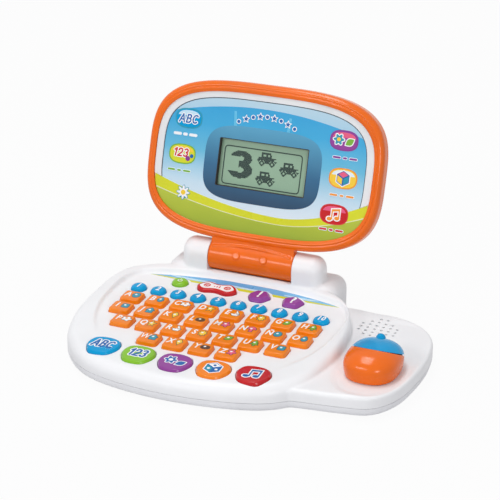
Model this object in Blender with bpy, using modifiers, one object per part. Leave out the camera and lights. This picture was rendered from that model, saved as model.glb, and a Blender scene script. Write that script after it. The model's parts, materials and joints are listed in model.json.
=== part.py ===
"""Toy laptop computer: a hinged screen lid, sprung keys on a sunk deck and a sliding mouse on a side pad."""
from math import asin, atan, copysign, cos, pi, radians, sin

import bmesh
import bpy
from mathutils import Matrix, Vector

MM = 0.001

# Walls and clearances
WALL = 2.0 * MM
GAP = 0.3 * MM
KEY_CLEARANCE = 0.35 * MM
FLAT_ANGLE = radians(0.5)
SHARP_ANGLE = radians(35)
ROD_SIDES = 16
EDGE_STEPS = 3
BALL_SIDES = 10
BALL_RINGS = 7

# Letter keys, in rows that run from the back to the front
KEY_PITCH = 20.0 * MM
ROW_PITCH = 17.94 * MM
KEY_WIDTH = 16.1 * MM
KEY_DEPTH = 14.8 * MM
KEY_CORNER = 2.6 * MM
KEY_HEIGHT = 3.0 * MM
KEY_EDGE = 0.9 * MM
KEY_TRAVEL = 1.8 * MM
FLANGE_WIDTH = 1.1 * MM
FLANGE_THICKNESS = 1.0 * MM
HOLE_REACH = 10.0 * MM
FIRST_ROW_Y = 2.4 * MM
LETTER_COLUMNS = 8
LETTER_ROWS = (
    ("a b c d e f g h", 0.0),
    ("i j k l m n enye o", 0.0),
    ("p q r s t u v", 0.5),
    ("w x y z", 2.0),
)
LAST_ROW_Y = FIRST_ROW_Y - (len(LETTER_ROWS) - 1) * ROW_PITCH

# Number keys
NUMBER_COUNT = 10
NUMBER_PITCH = 16.2 * MM
NUMBER_RADIUS = 6.0 * MM
NUMBER_ROW_STEP = 16.7 * MM
NUMBER_ROW_Y = FIRST_ROW_Y + NUMBER_ROW_STEP
NUMBER_SIDES = 12

# Function buttons at the back of the deck
FUNCTION_ROW_STEP = 18.6 * MM
FUNCTION_ROW_Y = NUMBER_ROW_Y + FUNCTION_ROW_STEP
POWER_X = -47.5 * MM
LOBED_X = -17.0 * MM
SIX_SIDED_X = 17.0 * MM
FIVE_SIDED_X = 43.5 * MM
POWER_RADIUS = 6.3 * MM
LOBED_LENGTH = 31.0 * MM
LOBED_DEPTH = 14.0 * MM
LOBED_STEPS = 2
SIX_SIDED_RADIUS = 9.2 * MM
SIX_SIDED_CUT = 1.6 * MM
FIVE_SIDED_RADIUS = 9.2 * MM
FIVE_SIDED_CUT = 1.8 * MM

# Sunk keyboard deck, drawn round the keys
RECESS_SIDE_MARGIN = 8.9 * MM
RECESS_BACK_MARGIN = 18.8 * MM
RECESS_FRONT_MARGIN = 14.6 * MM
RECESS_HALF_WIDTH = LETTER_COLUMNS * KEY_PITCH / 2 + RECESS_SIDE_MARGIN
RECESS_BACK = FUNCTION_ROW_Y + RECESS_BACK_MARGIN
RECESS_FRONT = RECESS_FRONT_MARGIN - LAST_ROW_Y
RECESS_FLARE = 5.0 * MM
RECESS_STEPS = 6
SLOPE_STEPS = 3

# Activity buttons on the apron in front of the deck
ACTIVITY_PITCH = 28.5 * MM
ACTIVITY_SETBACK = 7.3 * MM
ACTIVITY_Y = -RECESS_FRONT - ACTIVITY_SETBACK
ACTIVITY_BOW = 3.5 * MM
ACTIVITY_WIDTH = 24.8 * MM
ACTIVITY_DEPTH = 21.6 * MM
ACTIVITY_HEIGHT = 1.8 * MM
ACTIVITY_EDGE = 0.8 * MM
ACTIVITY_STEPS = 2
ACTIVITY_NAMES = ("letters_button", "numbers_button", "nature_button", "puzzle_button", "music_button")

# Base housing: plan of the keyboard block, a rim wider than the deck
RIM_LEFT = 15.1 * MM
RIM_RIGHT = 9.6 * MM
RIM_BACK = 10.5 * MM
APRON_MARGIN = 22.2 * MM
BODY_WIDTH_LEFT = RECESS_HALF_WIDTH + RIM_LEFT
BODY_WIDTH_RIGHT = RECESS_HALF_WIDTH + RIM_RIGHT
BODY_FRONT = APRON_MARGIN - ACTIVITY_Y
BODY_BACK = RECESS_BACK + RIM_BACK
BODY_STEPS = 6
BODY_SIDES = 48

# Base housing: heights above the table
FOOT_HEIGHT = 1.5 * MM
FOOT_RADIUS = 7.0 * MM
FLOOR_STEP = 0.2 * MM
PARTING_HEIGHT = 8.8 * MM
PAD_HEIGHT = 17.6 * MM
PAD_DISH = 0.8 * MM
PAD_FLOOR = PAD_HEIGHT - PAD_DISH
DECK_HEIGHT = 24.0 * MM
DECK_SLOPE = 0.035
CROWN_RISE = 2.05 * MM
CROWN_HEIGHT = DECK_HEIGHT + CROWN_RISE
CROWN_SLOPE = 0.07
CROWN_RADIUS = 8.0 * MM
CROWN_STEPS = 3
PAD_RADIUS = 3.0 * MM
SKIRT_RADIUS = 5.0 * MM

# Mouse pad: plan of the wing at the right
PAD_REACH = 57.5 * MM
PAD_SETBACK = 3.0 * MM
PAD_RIGHT = BODY_WIDTH_RIGHT + PAD_REACH
PAD_FRONT = 69.0 * MM
PAD_BACK = BODY_BACK - PAD_SETBACK
PAD_STEPS = 3
DISH_HALF_WIDTH = 24.0 * MM
DISH_HALF_LENGTH = 55.5 * MM
DISH_FLARE = 3.0 * MM
DISH_SQUARENESS = 2.8
DISH_SIDES = 20

# Speaker and its hole pattern in the pad
HOLE_RADIUS = 0.95 * MM
HOLE_SIDES = 6
HOLE_PITCH = 5.2 * MM
HOLE_FIRST_Y = 22.4 * MM
HOLE_OVERLAP = 1.8 * MM
HOLE_ORIGIN = (BODY_WIDTH_RIGHT - HOLE_OVERLAP, HOLE_FIRST_Y)
HOLE_COLUMNS = ((2, 4), (1, 5), (1, 6), (2, 6), (2, 5), (2, 4))
SPEAKER_RADIUS = 16.0 * MM
SPEAKER_THICKNESS = 3.0 * MM
MAGNET_RADIUS = 10.0 * MM
MAGNET_DEPTH = 4.5 * MM
SPEAKER_SIDES = 20
STAND_RADIUS = 0.7 * MAGNET_RADIUS

# Mouse
MOUSE_OFFSET = 28.5 * MM
MOUSE_Y = -22.5 * MM
MOUSE_CENTRE = (BODY_WIDTH_RIGHT + MOUSE_OFFSET, MOUSE_Y)
MOUSE_WIDTH = 39.0 * MM
MOUSE_LENGTH = 48.0 * MM
MOUSE_HEIGHT = 19.4 * MM
MOUSE_WAIST = 8.0 * MM
MOUSE_TUCK = 0.95
MOUSE_SQUARENESS = 2.5
MOUSE_FULLNESS = 0.75
MOUSE_RINGS = 6
MOUSE_CAP = 0.4
MOUSE_SIDES = 28
MOUSE_SEAM = -0.1375 * MOUSE_LENGTH
SEAM_HEIGHT = 0.99 * MOUSE_HEIGHT
SEAM_FALL = radians(26.5)
MOUSE_TRAVEL = 4.0 * MM
BUTTON_ROCK = radians(3.2)
NUB_RADIUS = 3.6 * MM
NUB_Y = 0.36 * MOUSE_LENGTH
NUB_HEIGHT = 0.80 * MOUSE_HEIGHT
POST_RADIUS = 5.0 * MM
CARRIAGE_THICKNESS = 2.5 * MM
CARRIAGE_MARGIN = 6.0 * MM
CARRIAGE_CORNER = 3.0 * MM

# Lid
LID_HALF_WIDTH = 94.0 * MM
LID_HALF_HEIGHT = 60.0 * MM
LID_SQUARENESS = 3.4
LID_SIDES = 44
LID_FRONT = 10.2 * MM
LID_BACK = 7.8 * MM
LID_FRONT_RADIUS = 5.0 * MM
LID_BACK_RADIUS = 6.5 * MM
LID_RECLINE = radians(17.6)
RIM_WIDTH = 6.8 * MM
RIM_RISE = 2.0 * MM
LENS_THICKNESS = 2.0 * MM
LENS_LEDGE = 3.0 * MM
WINDOW_WIDTH = 71.8 * MM
WINDOW_HEIGHT = 36.3 * MM
WINDOW_DROP = 1.4 * MM
WINDOW_CORNER = 0.8 * MM
DISPLAY_MARGIN = 4.0 * MM
DISPLAY_THICKNESS = 4.0 * MM
DISPLAY_CORNER = 1.5 * MM

# Lid hinge, just high enough for the lid to shut over the housing
HINGE_SETBACK = 2.0 * MM
HINGE_Y = BODY_BACK + HINGE_SETBACK
HINGE_Z = CROWN_HEIGHT + CROWN_SLOPE * RECESS_BACK + LID_FRONT
BARREL_RADIUS = 11.5 * MM
BARREL_LENGTH = 68.0 * MM
BARREL_SIDES = 32
NECK_MARGIN = 0.6 * MM
NECK_LENGTH = 0.8 * MM
LID_FOOT = BARREL_RADIUS + NECK_LENGTH
RIDGE_HALF_LENGTH = 31.0 * MM
RIDGE_LOW = 7.0 * MM
RIDGE_ARCH = 2.5 * MM
RIDGE_RADIUS = 0.7 * MM
RIDGE_STEPS = 16
KNOB_X = 11.0 * MM
KNOB_RADIUS = 3.4 * MM
KNOB_RISE = 0.8 * MM
KNOB_ANGLE = radians(12)
KNUCKLE_LENGTH = 22.5 * MM
KNUCKLE_EDGE = 7.5 * MM
PIN_RADIUS = 2.5 * MM
PIN_ENGAGEMENT = 17.0 * MM
TROUGH_STEPS = 12
TROUGH_GAP = 1.2 * MM
PEDESTAL_SIDE_MARGIN = 10.5 * MM
PEDESTAL_FRONT_MARGIN = 1.5 * MM
PEDESTAL_BACK_MARGIN = 6.5 * MM
PEDESTAL_DROP = 7.6 * MM
PEDESTAL_HALF_WIDTH = BARREL_LENGTH / 2 + KNUCKLE_LENGTH + PEDESTAL_SIDE_MARGIN
PEDESTAL_FRONT = HINGE_Y - BARREL_RADIUS - PEDESTAL_FRONT_MARGIN
PEDESTAL_BACK = HINGE_Y + BARREL_RADIUS + PEDESTAL_BACK_MARGIN
PEDESTAL_HEIGHT = HINGE_Z - PEDESTAL_DROP
PEDESTAL_RADIUS = 10.0 * MM
PEDESTAL_EDGE = 9.0 * MM
PEDESTAL_STEPS = 4

# Inner pieces
MEMBRANE_THICKNESS = 1.2 * MM
MEMBRANE_INSET = 3.0 * MM
MEMBRANE_MARGIN = 9.1 * MM
MEMBRANE_FRONT = MEMBRANE_MARGIN - LAST_ROW_Y
BOARD_THICKNESS = 1.6 * MM
BOARD_INSET = 9.0 * MM
BOARD_MARGIN = 9.3 * MM
BOARD_BACK = FUNCTION_ROW_Y + BOARD_MARGIN
BOSS_RADIUS = 3.0 * MM
BOSS_X = 70.0 * MM
BOSS_FRONT = 40.0 * MM
BOSS_BACK = 35.0 * MM
BOSS_SIDES = 10
BOSS_PLACES = ((-BOSS_X, -BOSS_FRONT), (BOSS_X, -BOSS_FRONT), (-BOSS_X, BOSS_BACK), (BOSS_X, BOSS_BACK))
CELL_BAY_WIDTH = 52.0 * MM
CELL_BAY_DEPTH = 36.0 * MM
CELL_LEDGE = 2.0 * MM
COVER_CORNER = 3.0 * MM
FOOT_MARGIN = 26.0 * MM
FOOT_FRONT_MARGIN = 35.0 * MM
FOOT_RIGHT_MARGIN = 38.0 * MM
FOOT_FRONT = BODY_FRONT - FOOT_FRONT_MARGIN
FOOT_PLACES = (
    (FOOT_MARGIN - BODY_WIDTH_LEFT, -FOOT_FRONT), (BODY_WIDTH_RIGHT - FOOT_RIGHT_MARGIN, -FOOT_FRONT),
    (PAD_RIGHT - FOOT_MARGIN, FOOT_MARGIN - PAD_FRONT), (PAD_RIGHT - FOOT_MARGIN, PAD_BACK - FOOT_MARGIN),
    (FOOT_MARGIN - BODY_WIDTH_LEFT, BODY_BACK - FOOT_MARGIN), (BARREL_LENGTH / 2, HINGE_Y),
)

# Colours as red, green, blue, then roughness and metallic value
FINISHES = {
    "white_shell": ((0.84, 0.84, 0.87), 0.35, 0.0),
    "grey_shell": ((0.70, 0.70, 0.74), 0.45, 0.0),
    "orange": ((0.86, 0.15, 0.02), 0.30, 0.0),
    "key_orange": ((0.90, 0.19, 0.02), 0.30, 0.0),
    "blue": ((0.0, 0.33, 0.73), 0.25, 0.0),
    "green": ((0.26, 0.58, 0.05), 0.25, 0.0),
    "purple": ((0.30, 0.06, 0.35), 0.25, 0.0),
    "red": ((0.64, 0.02, 0.03), 0.25, 0.0),
    "panel": ((0.15, 0.50, 0.75), 0.20, 0.0),
    "display": ((0.24, 0.40, 0.29), 0.35, 0.0),
    "board": ((0.03, 0.22, 0.07), 0.50, 0.0),
    "rubber": ((0.55, 0.55, 0.53), 0.70, 0.0),
    "speaker": ((0.06, 0.06, 0.06), 0.50, 0.2),
    "steel": ((0.62, 0.62, 0.64), 0.25, 1.0),
}

# Turns a slab drawn in plan so that it stands up facing the front
STAND = Matrix.Rotation(pi / 2, 4, "X")
# Turns a slab drawn in plan so that its thickness runs along X and its plan lies in the YZ plane
ALONG_X = Matrix(((0, 0, 1), (1, 0, 0), (0, 1, 0))).to_4x4()


def clear_scene():
    for old in list(bpy.data.objects):
        bpy.data.objects.remove(old, do_unlink=True)


def new_collection(name):
    collection = bpy.data.collections.new(name)
    bpy.context.scene.collection.children.link(collection)
    return collection


def finish_material(name):
    colour, roughness, metallic = FINISHES[name]
    material = bpy.data.materials.get(name)
    if material is None:
        material = bpy.data.materials.new(name)
        material.use_nodes = True
        shader = material.node_tree.nodes["Principled BSDF"]
        shader.inputs["Base Color"].default_value = (*colour, 1.0)
        shader.inputs["Roughness"].default_value = roughness
        shader.inputs["Metallic"].default_value = metallic
    return material


# Outlines


def smooth_loop(points, steps):
    """Points on a closed smooth curve through the given ones."""
    count = len(points)
    loop = []
    for index in range(count):
        before, start, end, after = (Vector(points[(index + shift) % count]) for shift in (-1, 0, 1, 2))
        for step in range(steps):
            t = step / steps
            bend = start * 2 + (end - before) * t
            bend += (before * 2 - start * 5 + end * 4 - after) * t ** 2
            bend += (start * 3 - before - end * 3 + after) * t ** 3
            loop.append(tuple(bend / 2))
    return loop


def grow(outline, distance):
    """The outline moved outward by a distance, with mitred corners."""
    count = len(outline)
    moved = []
    for index in range(count):
        before, here, after = (Vector(outline[(index + shift) % count]) for shift in (-1, 0, 1))
        arriving = (here - before).normalized()
        leaving = (after - here).normalized()
        first = Vector((arriving.y, -arriving.x))
        second = Vector((leaving.y, -leaving.x))
        moved.append(tuple(here + (first + second) * (distance / (1 + first.dot(second)))))
    return moved


def superellipse(half_width, half_height, power, sides, centre=(0.0, 0.0)):
    """An oval squared off by its power, its points closest together at the corners."""
    outline = []
    for across, up in circle(1.0, sides):
        x = copysign(abs(across) ** (2 / power), across)
        y = copysign(abs(up) ** (2 / power), up)
        outline.append((centre[0] + half_width * x, centre[1] + half_height * y))
    return outline


def circle(radius, sides, centre=(0.0, 0.0), turn=0.0):
    angles = [turn + 2 * pi * index / sides for index in range(sides)]
    return [(centre[0] + radius * cos(angle), centre[1] + radius * sin(angle)) for angle in angles]


def rounded_rectangle(width, depth, corner, arcs, centre=(0.0, 0.0)):
    """A rectangle whose corners are arcs of the given number of segments."""
    outline = []
    for quarter, (side_x, side_y) in enumerate(((1, 1), (-1, 1), (-1, -1), (1, -1))):
        for step in range(arcs + 1):
            angle = pi / 2 * (quarter + step / arcs)
            x = side_x * (width / 2 - corner) + corner * cos(angle)
            y = side_y * (depth / 2 - corner) + corner * sin(angle)
            outline.append((centre[0] + x, centre[1] + y))
    return outline


def cut_corners(outline, length):
    """Each corner of a polygon replaced by two points a short length along its sides."""
    count = len(outline)
    cut = []
    for index in range(count):
        before, here, after = (Vector(outline[(index + shift) % count]) for shift in (-1, 0, 1))
        cut.append(tuple(here + (before - here).normalized() * length))
        cut.append(tuple(here + (after - here).normalized() * length))
    return cut


def resample(outline, count):
    """The outline as equally spaced points, from its first point on."""
    corners = [Vector(point) for point in outline + outline[:1]]
    lengths = [(end - start).length for start, end in zip(corners, corners[1:])]
    spacing = sum(lengths) / count
    spaced = []
    travelled = 0.0
    for start, end, length in zip(corners, corners[1:], lengths):
        while len(spaced) < count and len(spaced) * spacing < travelled + length:
            share = (len(spaced) * spacing - travelled) / length
            spaced.append(tuple(start.lerp(end, share)))
        travelled += length
    return spaced


def without_flat_points(outline):
    """The outline without the points at which it hardly turns."""
    count = len(outline)
    kept = []
    for index in range(count):
        before, here, after = (Vector(outline[(index + shift) % count]) for shift in (-1, 0, 1))
        if (here - before).angle(after - here) > FLAT_ANGLE:
            kept.append(outline[index])
    return kept


def body_outline():
    left, right, front, back = BODY_WIDTH_LEFT, BODY_WIDTH_RIGHT, BODY_FRONT, BODY_BACK
    points = smooth_loop([
        (0, -front), (0.60 * right, -0.905 * front), (0.89 * right, -0.70 * front), (0.99 * right, -0.35 * front),
        (right, 0), (0.94 * right, 0.42 * back), (0.79 * right, 0.80 * back), (0.56 * right, 0.97 * back),
        (0, back), (-0.60 * left, 0.96 * back), (-0.86 * left, 0.78 * back), (-0.97 * left, 0.55 * back),
        (-left, 0.15 * back), (-0.98 * left, -0.32 * front), (-0.85 * left, -0.67 * front),
        (-0.55 * left, -0.92 * front),
    ], BODY_STEPS)
    return resample(points, BODY_SIDES)


def pad_outline():
    right, front, back = PAD_RIGHT, PAD_FRONT, PAD_BACK
    return smooth_loop([
        (0.36 * right, -0.95 * front), (0.46 * right, -1.10 * front), (0.56 * right, -1.03 * front),
        (0.75 * right, -0.97 * front), (0.89 * right, -0.88 * front), (0.97 * right, -0.61 * front),
        (right, -0.20 * front), (right, 0.22 * back), (0.96 * right, 0.63 * back), (0.85 * right, 0.91 * back),
        (0.66 * right, back), (0.40 * right, 0.80 * back),
    ], PAD_STEPS)


def recess_outline():
    half, front, back = RECESS_HALF_WIDTH, RECESS_FRONT, RECESS_BACK
    right_side = [
        (0.60 * half, -front), (0.85 * half, -0.65 * front), (0.97 * half, -0.25 * front),
        (half, 0.20 * back), (0.97 * half, 0.60 * back), (0.84 * half, 0.82 * back), (0.45 * half, 0.95 * back),
    ]
    left_side = [(-x, y) for x, y in reversed(right_side)]
    points = smooth_loop([(0, -front)] + right_side + [(0, back)] + left_side, RECESS_STEPS)
    return resample(points, BODY_SIDES)


def pedestal_outline():
    centre = (0.0, (PEDESTAL_FRONT + PEDESTAL_BACK) / 2)
    depth = PEDESTAL_BACK - PEDESTAL_FRONT
    return rounded_rectangle(2 * PEDESTAL_HALF_WIDTH, depth, PEDESTAL_RADIUS, PEDESTAL_STEPS, centre)


def lid_outline(inset=0.0):
    centre = (0.0, LID_FOOT + LID_HALF_HEIGHT)
    return superellipse(LID_HALF_WIDTH - inset, LID_HALF_HEIGHT - inset, LID_SQUARENESS, LID_SIDES, centre)


def crown_height(y):
    return CROWN_HEIGHT + CROWN_SLOPE * y


def deck_height(y):
    return DECK_HEIGHT + DECK_SLOPE * y


def level(outline, height):
    """An outline laid flat at a height."""
    return [(x, y, height) for x, y in outline]


def below_crown(outline, drop):
    """An outline laid on the crown's sloping plane, or lower by a drop."""
    return [(x, y, crown_height(y) - drop) for x, y in outline]


# Solids


def take_mesh(obj, collection_of_points):
    """Give an object the mesh held in a bmesh and free the bmesh."""
    collection_of_points.to_mesh(obj.data)
    collection_of_points.free()
    obj.data.update()


def new_object(name, points):
    mesh = bpy.data.meshes.new(name)
    obj = bpy.data.objects.new(name, mesh)
    PARTS.objects.link(obj)
    take_mesh(obj, points)
    return obj


def solid_from_curve(name, curve):
    """A closed mesh object with the shape of a filled curve."""
    source = bpy.data.objects.new(name, curve)
    PARTS.objects.link(source)
    bpy.context.view_layer.update()
    graph = bpy.context.evaluated_depsgraph_get()
    mesh = bpy.data.meshes.new_from_object(source.evaluated_get(graph))
    bpy.data.objects.remove(source)
    points = bmesh.new()
    points.from_mesh(mesh)
    bpy.data.meshes.remove(mesh)
    bmesh.ops.remove_doubles(points, verts=points.verts, dist=1e-6)
    bmesh.ops.dissolve_limit(points, angle_limit=FLAT_ANGLE / 10, verts=points.verts, edges=points.edges)
    bmesh.ops.recalc_face_normals(points, faces=points.faces)
    return new_object(name, points)


def slab(name, outlines, low, high, turn=None):
    """Flat outlines extruded from one height to another as one object."""
    curve = bpy.data.curves.new(name, "CURVE")
    curve.dimensions = "2D"
    curve.fill_mode = "BOTH"
    curve.extrude = (high - low) / 2
    for outline in outlines:
        corners = without_flat_points(outline)
        spline = curve.splines.new("POLY")
        spline.points.add(len(corners) - 1)
        for point, (x, y) in zip(spline.points, corners):
            point.co = (x, y, 0.0, 1.0)
        spline.use_cyclic_u = True
    solid = solid_from_curve(name, curve)
    solid.data.transform(Matrix.Translation((0, 0, (low + high) / 2)))
    if turn is not None:
        solid.data.transform(turn)
    return solid


def rod(name, radius, low, high, sides, turn=None):
    """A cylinder on the Z axis, turned onto another axis where asked."""
    points = bmesh.new()
    place = Matrix.Translation((0, 0, (low + high) / 2))
    bmesh.ops.create_cone(points, cap_ends=True, segments=sides, radius1=radius, radius2=radius,
                          depth=high - low, matrix=place)
    if turn is not None:
        bmesh.ops.transform(points, matrix=turn, verts=points.verts)
    return new_object(name, points)


def ball(name, radius, place):
    points = bmesh.new()
    bmesh.ops.create_uvsphere(points, u_segments=BALL_SIDES, v_segments=BALL_RINGS, radius=radius, matrix=place)
    return new_object(name, points)


def block(name, low, high):
    points = bmesh.new()
    low, high = Vector(low), Vector(high)
    size = high - low
    place = Matrix.Translation((low + high) / 2) @ Matrix.Diagonal((*size, 1.0))
    bmesh.ops.create_cube(points, size=1.0, matrix=place)
    return new_object(name, points)


def loft(name, rings):
    """A closed solid through rings of equal point counts, listed from the bottom on."""
    points = bmesh.new()
    layers = [[points.verts.new(place) for place in ring] for ring in rings]
    for lower, upper in zip(layers, layers[1:]):
        for index in range(len(lower)):
            after = (index + 1) % len(lower)
            points.faces.new((lower[index], lower[after], upper[after], upper[index]))
    bmesh.ops.triangulate(points, faces=points.faces)
    points.faces.new(tuple(reversed(layers[0])))
    points.faces.new(tuple(layers[-1]))
    return new_object(name, points)


def turned(name, profile, steps):
    """A solid of revolution about Z from a profile of radius and height, top to bottom."""
    points = bmesh.new()
    corners = [points.verts.new((radius, 0.0, height)) for radius, height in profile]
    for start, end in zip(corners, corners[1:]):
        points.edges.new((start, end))
    obj = new_object(name, points)
    screw = obj.modifiers.new("turn", "SCREW")
    screw.steps = steps
    screw.render_steps = steps
    screw.use_merge_vertices = True
    screw.merge_threshold = 0.00001
    bake(obj)
    return obj


def bake(obj):
    """Replace an object's mesh by the result of its modifiers."""
    bpy.context.view_layer.update()
    graph = bpy.context.evaluated_depsgraph_get()
    mesh = bpy.data.meshes.new_from_object(obj.evaluated_get(graph))
    obj.modifiers.clear()
    old = obj.data
    obj.data = mesh
    bpy.data.meshes.remove(old)


def combine(target, tool, operation):
    """Boolean of two objects, keeping the first and removing the second."""
    modifier = target.modifiers.new("combine", "BOOLEAN")
    modifier.operation = operation
    modifier.object = tool
    bake(target)
    bpy.data.objects.remove(tool)


def join(target, *tools):
    for tool in tools:
        combine(target, tool, "UNION")


def cut(target, *tools):
    for tool in tools:
        combine(target, tool, "DIFFERENCE")


def trim(obj, height, slope=0.0, keep="below"):
    """Cut a solid off on one side of a plane that may rise towards the back."""
    points = bmesh.new()
    points.from_mesh(obj.data)
    everything = points.verts[:] + points.edges[:] + points.faces[:]
    bmesh.ops.bisect_plane(points, geom=everything, plane_co=(0, 0, height), plane_no=(0, -slope, 1),
                           clear_outer=keep == "below", clear_inner=keep == "above")
    rim = [edge for edge in points.edges if edge.is_boundary]
    bmesh.ops.edgeloop_fill(points, edges=rim)
    bmesh.ops.recalc_face_normals(points, faces=points.faces)
    take_mesh(obj, points)


def round_edges(obj, radius, segments, chosen):
    """Round the edges whose two ends both pass a test."""
    points = bmesh.new()
    points.from_mesh(obj.data)
    edges = [edge for edge in points.edges if all(chosen(vertex.co) for vertex in edge.verts)]
    bmesh.ops.bevel(points, geom=edges, offset=radius, offset_type="OFFSET", segments=segments, profile=0.5,
                    affect="EDGES")
    take_mesh(obj, points)


def at_height(height, slope=0.0):
    """A test for points on a plane that may rise towards the back."""
    return lambda place: abs(place.z - height - slope * place.y) < 1e-6


def finish(obj, material, parent):
    obj.data.materials.clear()
    obj.data.materials.append(finish_material(material))
    obj.data.shade_smooth()
    obj.data.set_sharp_from_angle(angle=SHARP_ANGLE)
    obj.parent = parent
    return obj


def empty(name, parent, matrix):
    anchor = bpy.data.objects.new(name, None)
    anchor.empty_display_size = 5 * MM
    PARTS.objects.link(anchor)
    anchor.parent = parent
    anchor.matrix_local = matrix
    return anchor


def plane_frame(height, slope):
    """A frame on a plane that rises towards the back, with its Z along the plane's normal."""
    return Matrix.Translation((0, 0, height)) @ Matrix.Rotation(atan(slope), 4, "X")


# Keys


def letter_places():
    for row, (letters, shift) in enumerate(LETTER_ROWS):
        for column, letter in enumerate(letters.split()):
            x = (column + shift - (LETTER_COLUMNS - 1) / 2) * KEY_PITCH
            yield "key_" + letter, (x, FIRST_ROW_Y - row * ROW_PITCH)


def number_places():
    for index in range(NUMBER_COUNT):
        yield f"key_{index + 1}", ((index - (NUMBER_COUNT - 1) / 2) * NUMBER_PITCH, NUMBER_ROW_Y)


def activity_places():
    reach = (len(ACTIVITY_NAMES) - 1) / 2
    for index, name in enumerate(ACTIVITY_NAMES):
        step = index - reach
        yield name, (step * ACTIVITY_PITCH, ACTIVITY_Y + ACTIVITY_BOW * (step / reach) ** 2)


def letter_outline():
    return rounded_rectangle(KEY_WIDTH, KEY_DEPTH, KEY_CORNER, 1)


def lobed_outline():
    half, depth = LOBED_LENGTH / 2, LOBED_DEPTH / 2
    right_side = [(0.58 * half, -depth), (0.92 * half, -0.6 * depth), (half, 0.1 * depth), (0.60 * half, depth)]
    left_side = [(-x, y) for x, y in reversed(right_side)]
    waist = 0.72 * depth
    return smooth_loop(right_side + [(0, waist)] + left_side + [(0, -waist)], LOBED_STEPS)


def activity_outline():
    """A shield: a broad arch at the back, narrowing to a short straight front."""
    half, depth = ACTIVITY_WIDTH / 2, ACTIVITY_DEPTH / 2
    right_side = [
        (0.42 * half, -depth), (0.82 * half, -0.56 * depth), (half, 0.14 * depth), (0.72 * half, 0.80 * depth),
    ]
    left_side = [(-x, y) for x, y in reversed(right_side)]
    return smooth_loop(right_side + [(0, depth)] + left_side, ACTIVITY_STEPS)


def six_sided_outline():
    return cut_corners(circle(SIX_SIDED_RADIUS, 6), SIX_SIDED_CUT)


def five_sided_outline():
    return cut_corners(circle(FIVE_SIDED_RADIUS, 5, turn=pi / 2), FIVE_SIDED_CUT)


def cap_levels(height, edge):
    """Insets and heights of a flat-topped cap with a sloped edge."""
    return [(0.0, height - edge), (edge, height)]


def dome_levels(height, radius):
    """Insets and heights of a low dome."""
    return [(0.0, 0.35 * height), (0.25 * radius, 0.80 * height), (0.62 * radius, height)]


def key_rings(outline, levels):
    """Flange under the deck, shank through the hole, then the cap."""
    flange = grow(outline, FLANGE_WIDTH)
    seat = -WALL - GAP
    rings = [level(flange, seat - FLANGE_THICKNESS), level(flange, seat), level(outline, seat)]
    return rings + [level(grow(outline, -inset), height) for inset, height in levels]


def key_table():
    """Every key on the sunk deck: name, place, outline, cap levels and colour."""
    flat = cap_levels(KEY_HEIGHT, KEY_EDGE)
    number = circle(NUMBER_RADIUS, NUMBER_SIDES)
    table = [(name, place, letter_outline(), flat, "key_orange") for name, place in letter_places()]
    for name, place in number_places():
        table.append((name, place, number, dome_levels(KEY_HEIGHT, NUMBER_RADIUS), "blue"))
    power = circle(POWER_RADIUS, NUMBER_SIDES)
    table.append(("power_button", (POWER_X, FUNCTION_ROW_Y), power, dome_levels(KEY_HEIGHT, POWER_RADIUS), "green"))
    table.append(("melody_button", (LOBED_X, FUNCTION_ROW_Y), lobed_outline(), flat, "red"))
    table.append(("hint_button", (SIX_SIDED_X, FUNCTION_ROW_Y), six_sided_outline(), flat, "purple"))
    table.append(("help_button", (FIVE_SIDED_X, FUNCTION_ROW_Y), five_sided_outline(), flat, "purple"))
    return table


def activity_table():
    flat = cap_levels(ACTIVITY_HEIGHT, ACTIVITY_EDGE)
    colours = ("blue", "green", "purple", "key_orange", "red")
    places = activity_places()
    return [(name, place, activity_outline(), flat, colour) for (name, place), colour in zip(places, colours)]


def make_keys(table, frame):
    for name, (x, y), outline, levels, colour in table:
        key = loft(name, key_rings(outline, levels))
        finish(key, colour, frame)
        key.location = (x, y, 0)


def key_holes(table, frame, margin, top):
    """Cutters below a height that are wider than each of a set of keys by a margin."""
    holes = []
    for name, (x, y), outline, levels, colour in table:
        grown = grow(outline, margin)
        holes.append([(x + across, y + along) for across, along in grown])
    cutter = slab("holes", holes, -HOLE_REACH, top)
    cutter.matrix_world = frame.matrix_world
    return cutter


# Base


def knuckle(name, side):
    """A round-topped hinge ear whose front falls straight to the deck."""
    inner = BARREL_LENGTH / 2 + GAP
    outer = inner + KNUCKLE_LENGTH
    arch = [(HINGE_Y + x, HINGE_Z + y) for x, y in circle(BARREL_RADIUS, 24)[:13]]
    foot = PEDESTAL_HEIGHT - PEDESTAL_RADIUS
    arch += [(HINGE_Y - BARREL_RADIUS, foot), (HINGE_Y + BARREL_RADIUS, foot)]
    low, high = sorted((side * inner, side * outer))
    ear = slab(name, [arch], low, high, ALONG_X)
    outer_rim = lambda place: abs(place.x - side * outer) < 1e-6 and place.z > foot + 1e-6
    round_edges(ear, KNUCKLE_EDGE, EDGE_STEPS, outer_rim)
    return ear


def hinge_trough():
    """Room for the barrel, and for the neck in front of it when the lid is shut."""
    half = BARREL_LENGTH / 2 + GAP
    radius = BARREL_RADIUS + TROUGH_GAP
    lip = LID_FRONT - RIM_RISE + TROUGH_GAP
    start = pi + asin(lip / radius)
    angles = [start + (2 * pi - start) * step / TROUGH_STEPS for step in range(TROUGH_STEPS + 1)]
    profile = [(radius * cos(angle), radius * sin(angle)) for angle in angles]
    profile += [(radius, radius), (-2 * radius, radius), (-2 * radius, -lip)]
    return slab("trough", [[(HINGE_Y + y, HINGE_Z + z) for y, z in profile]], -half, half, ALONG_X)


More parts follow.
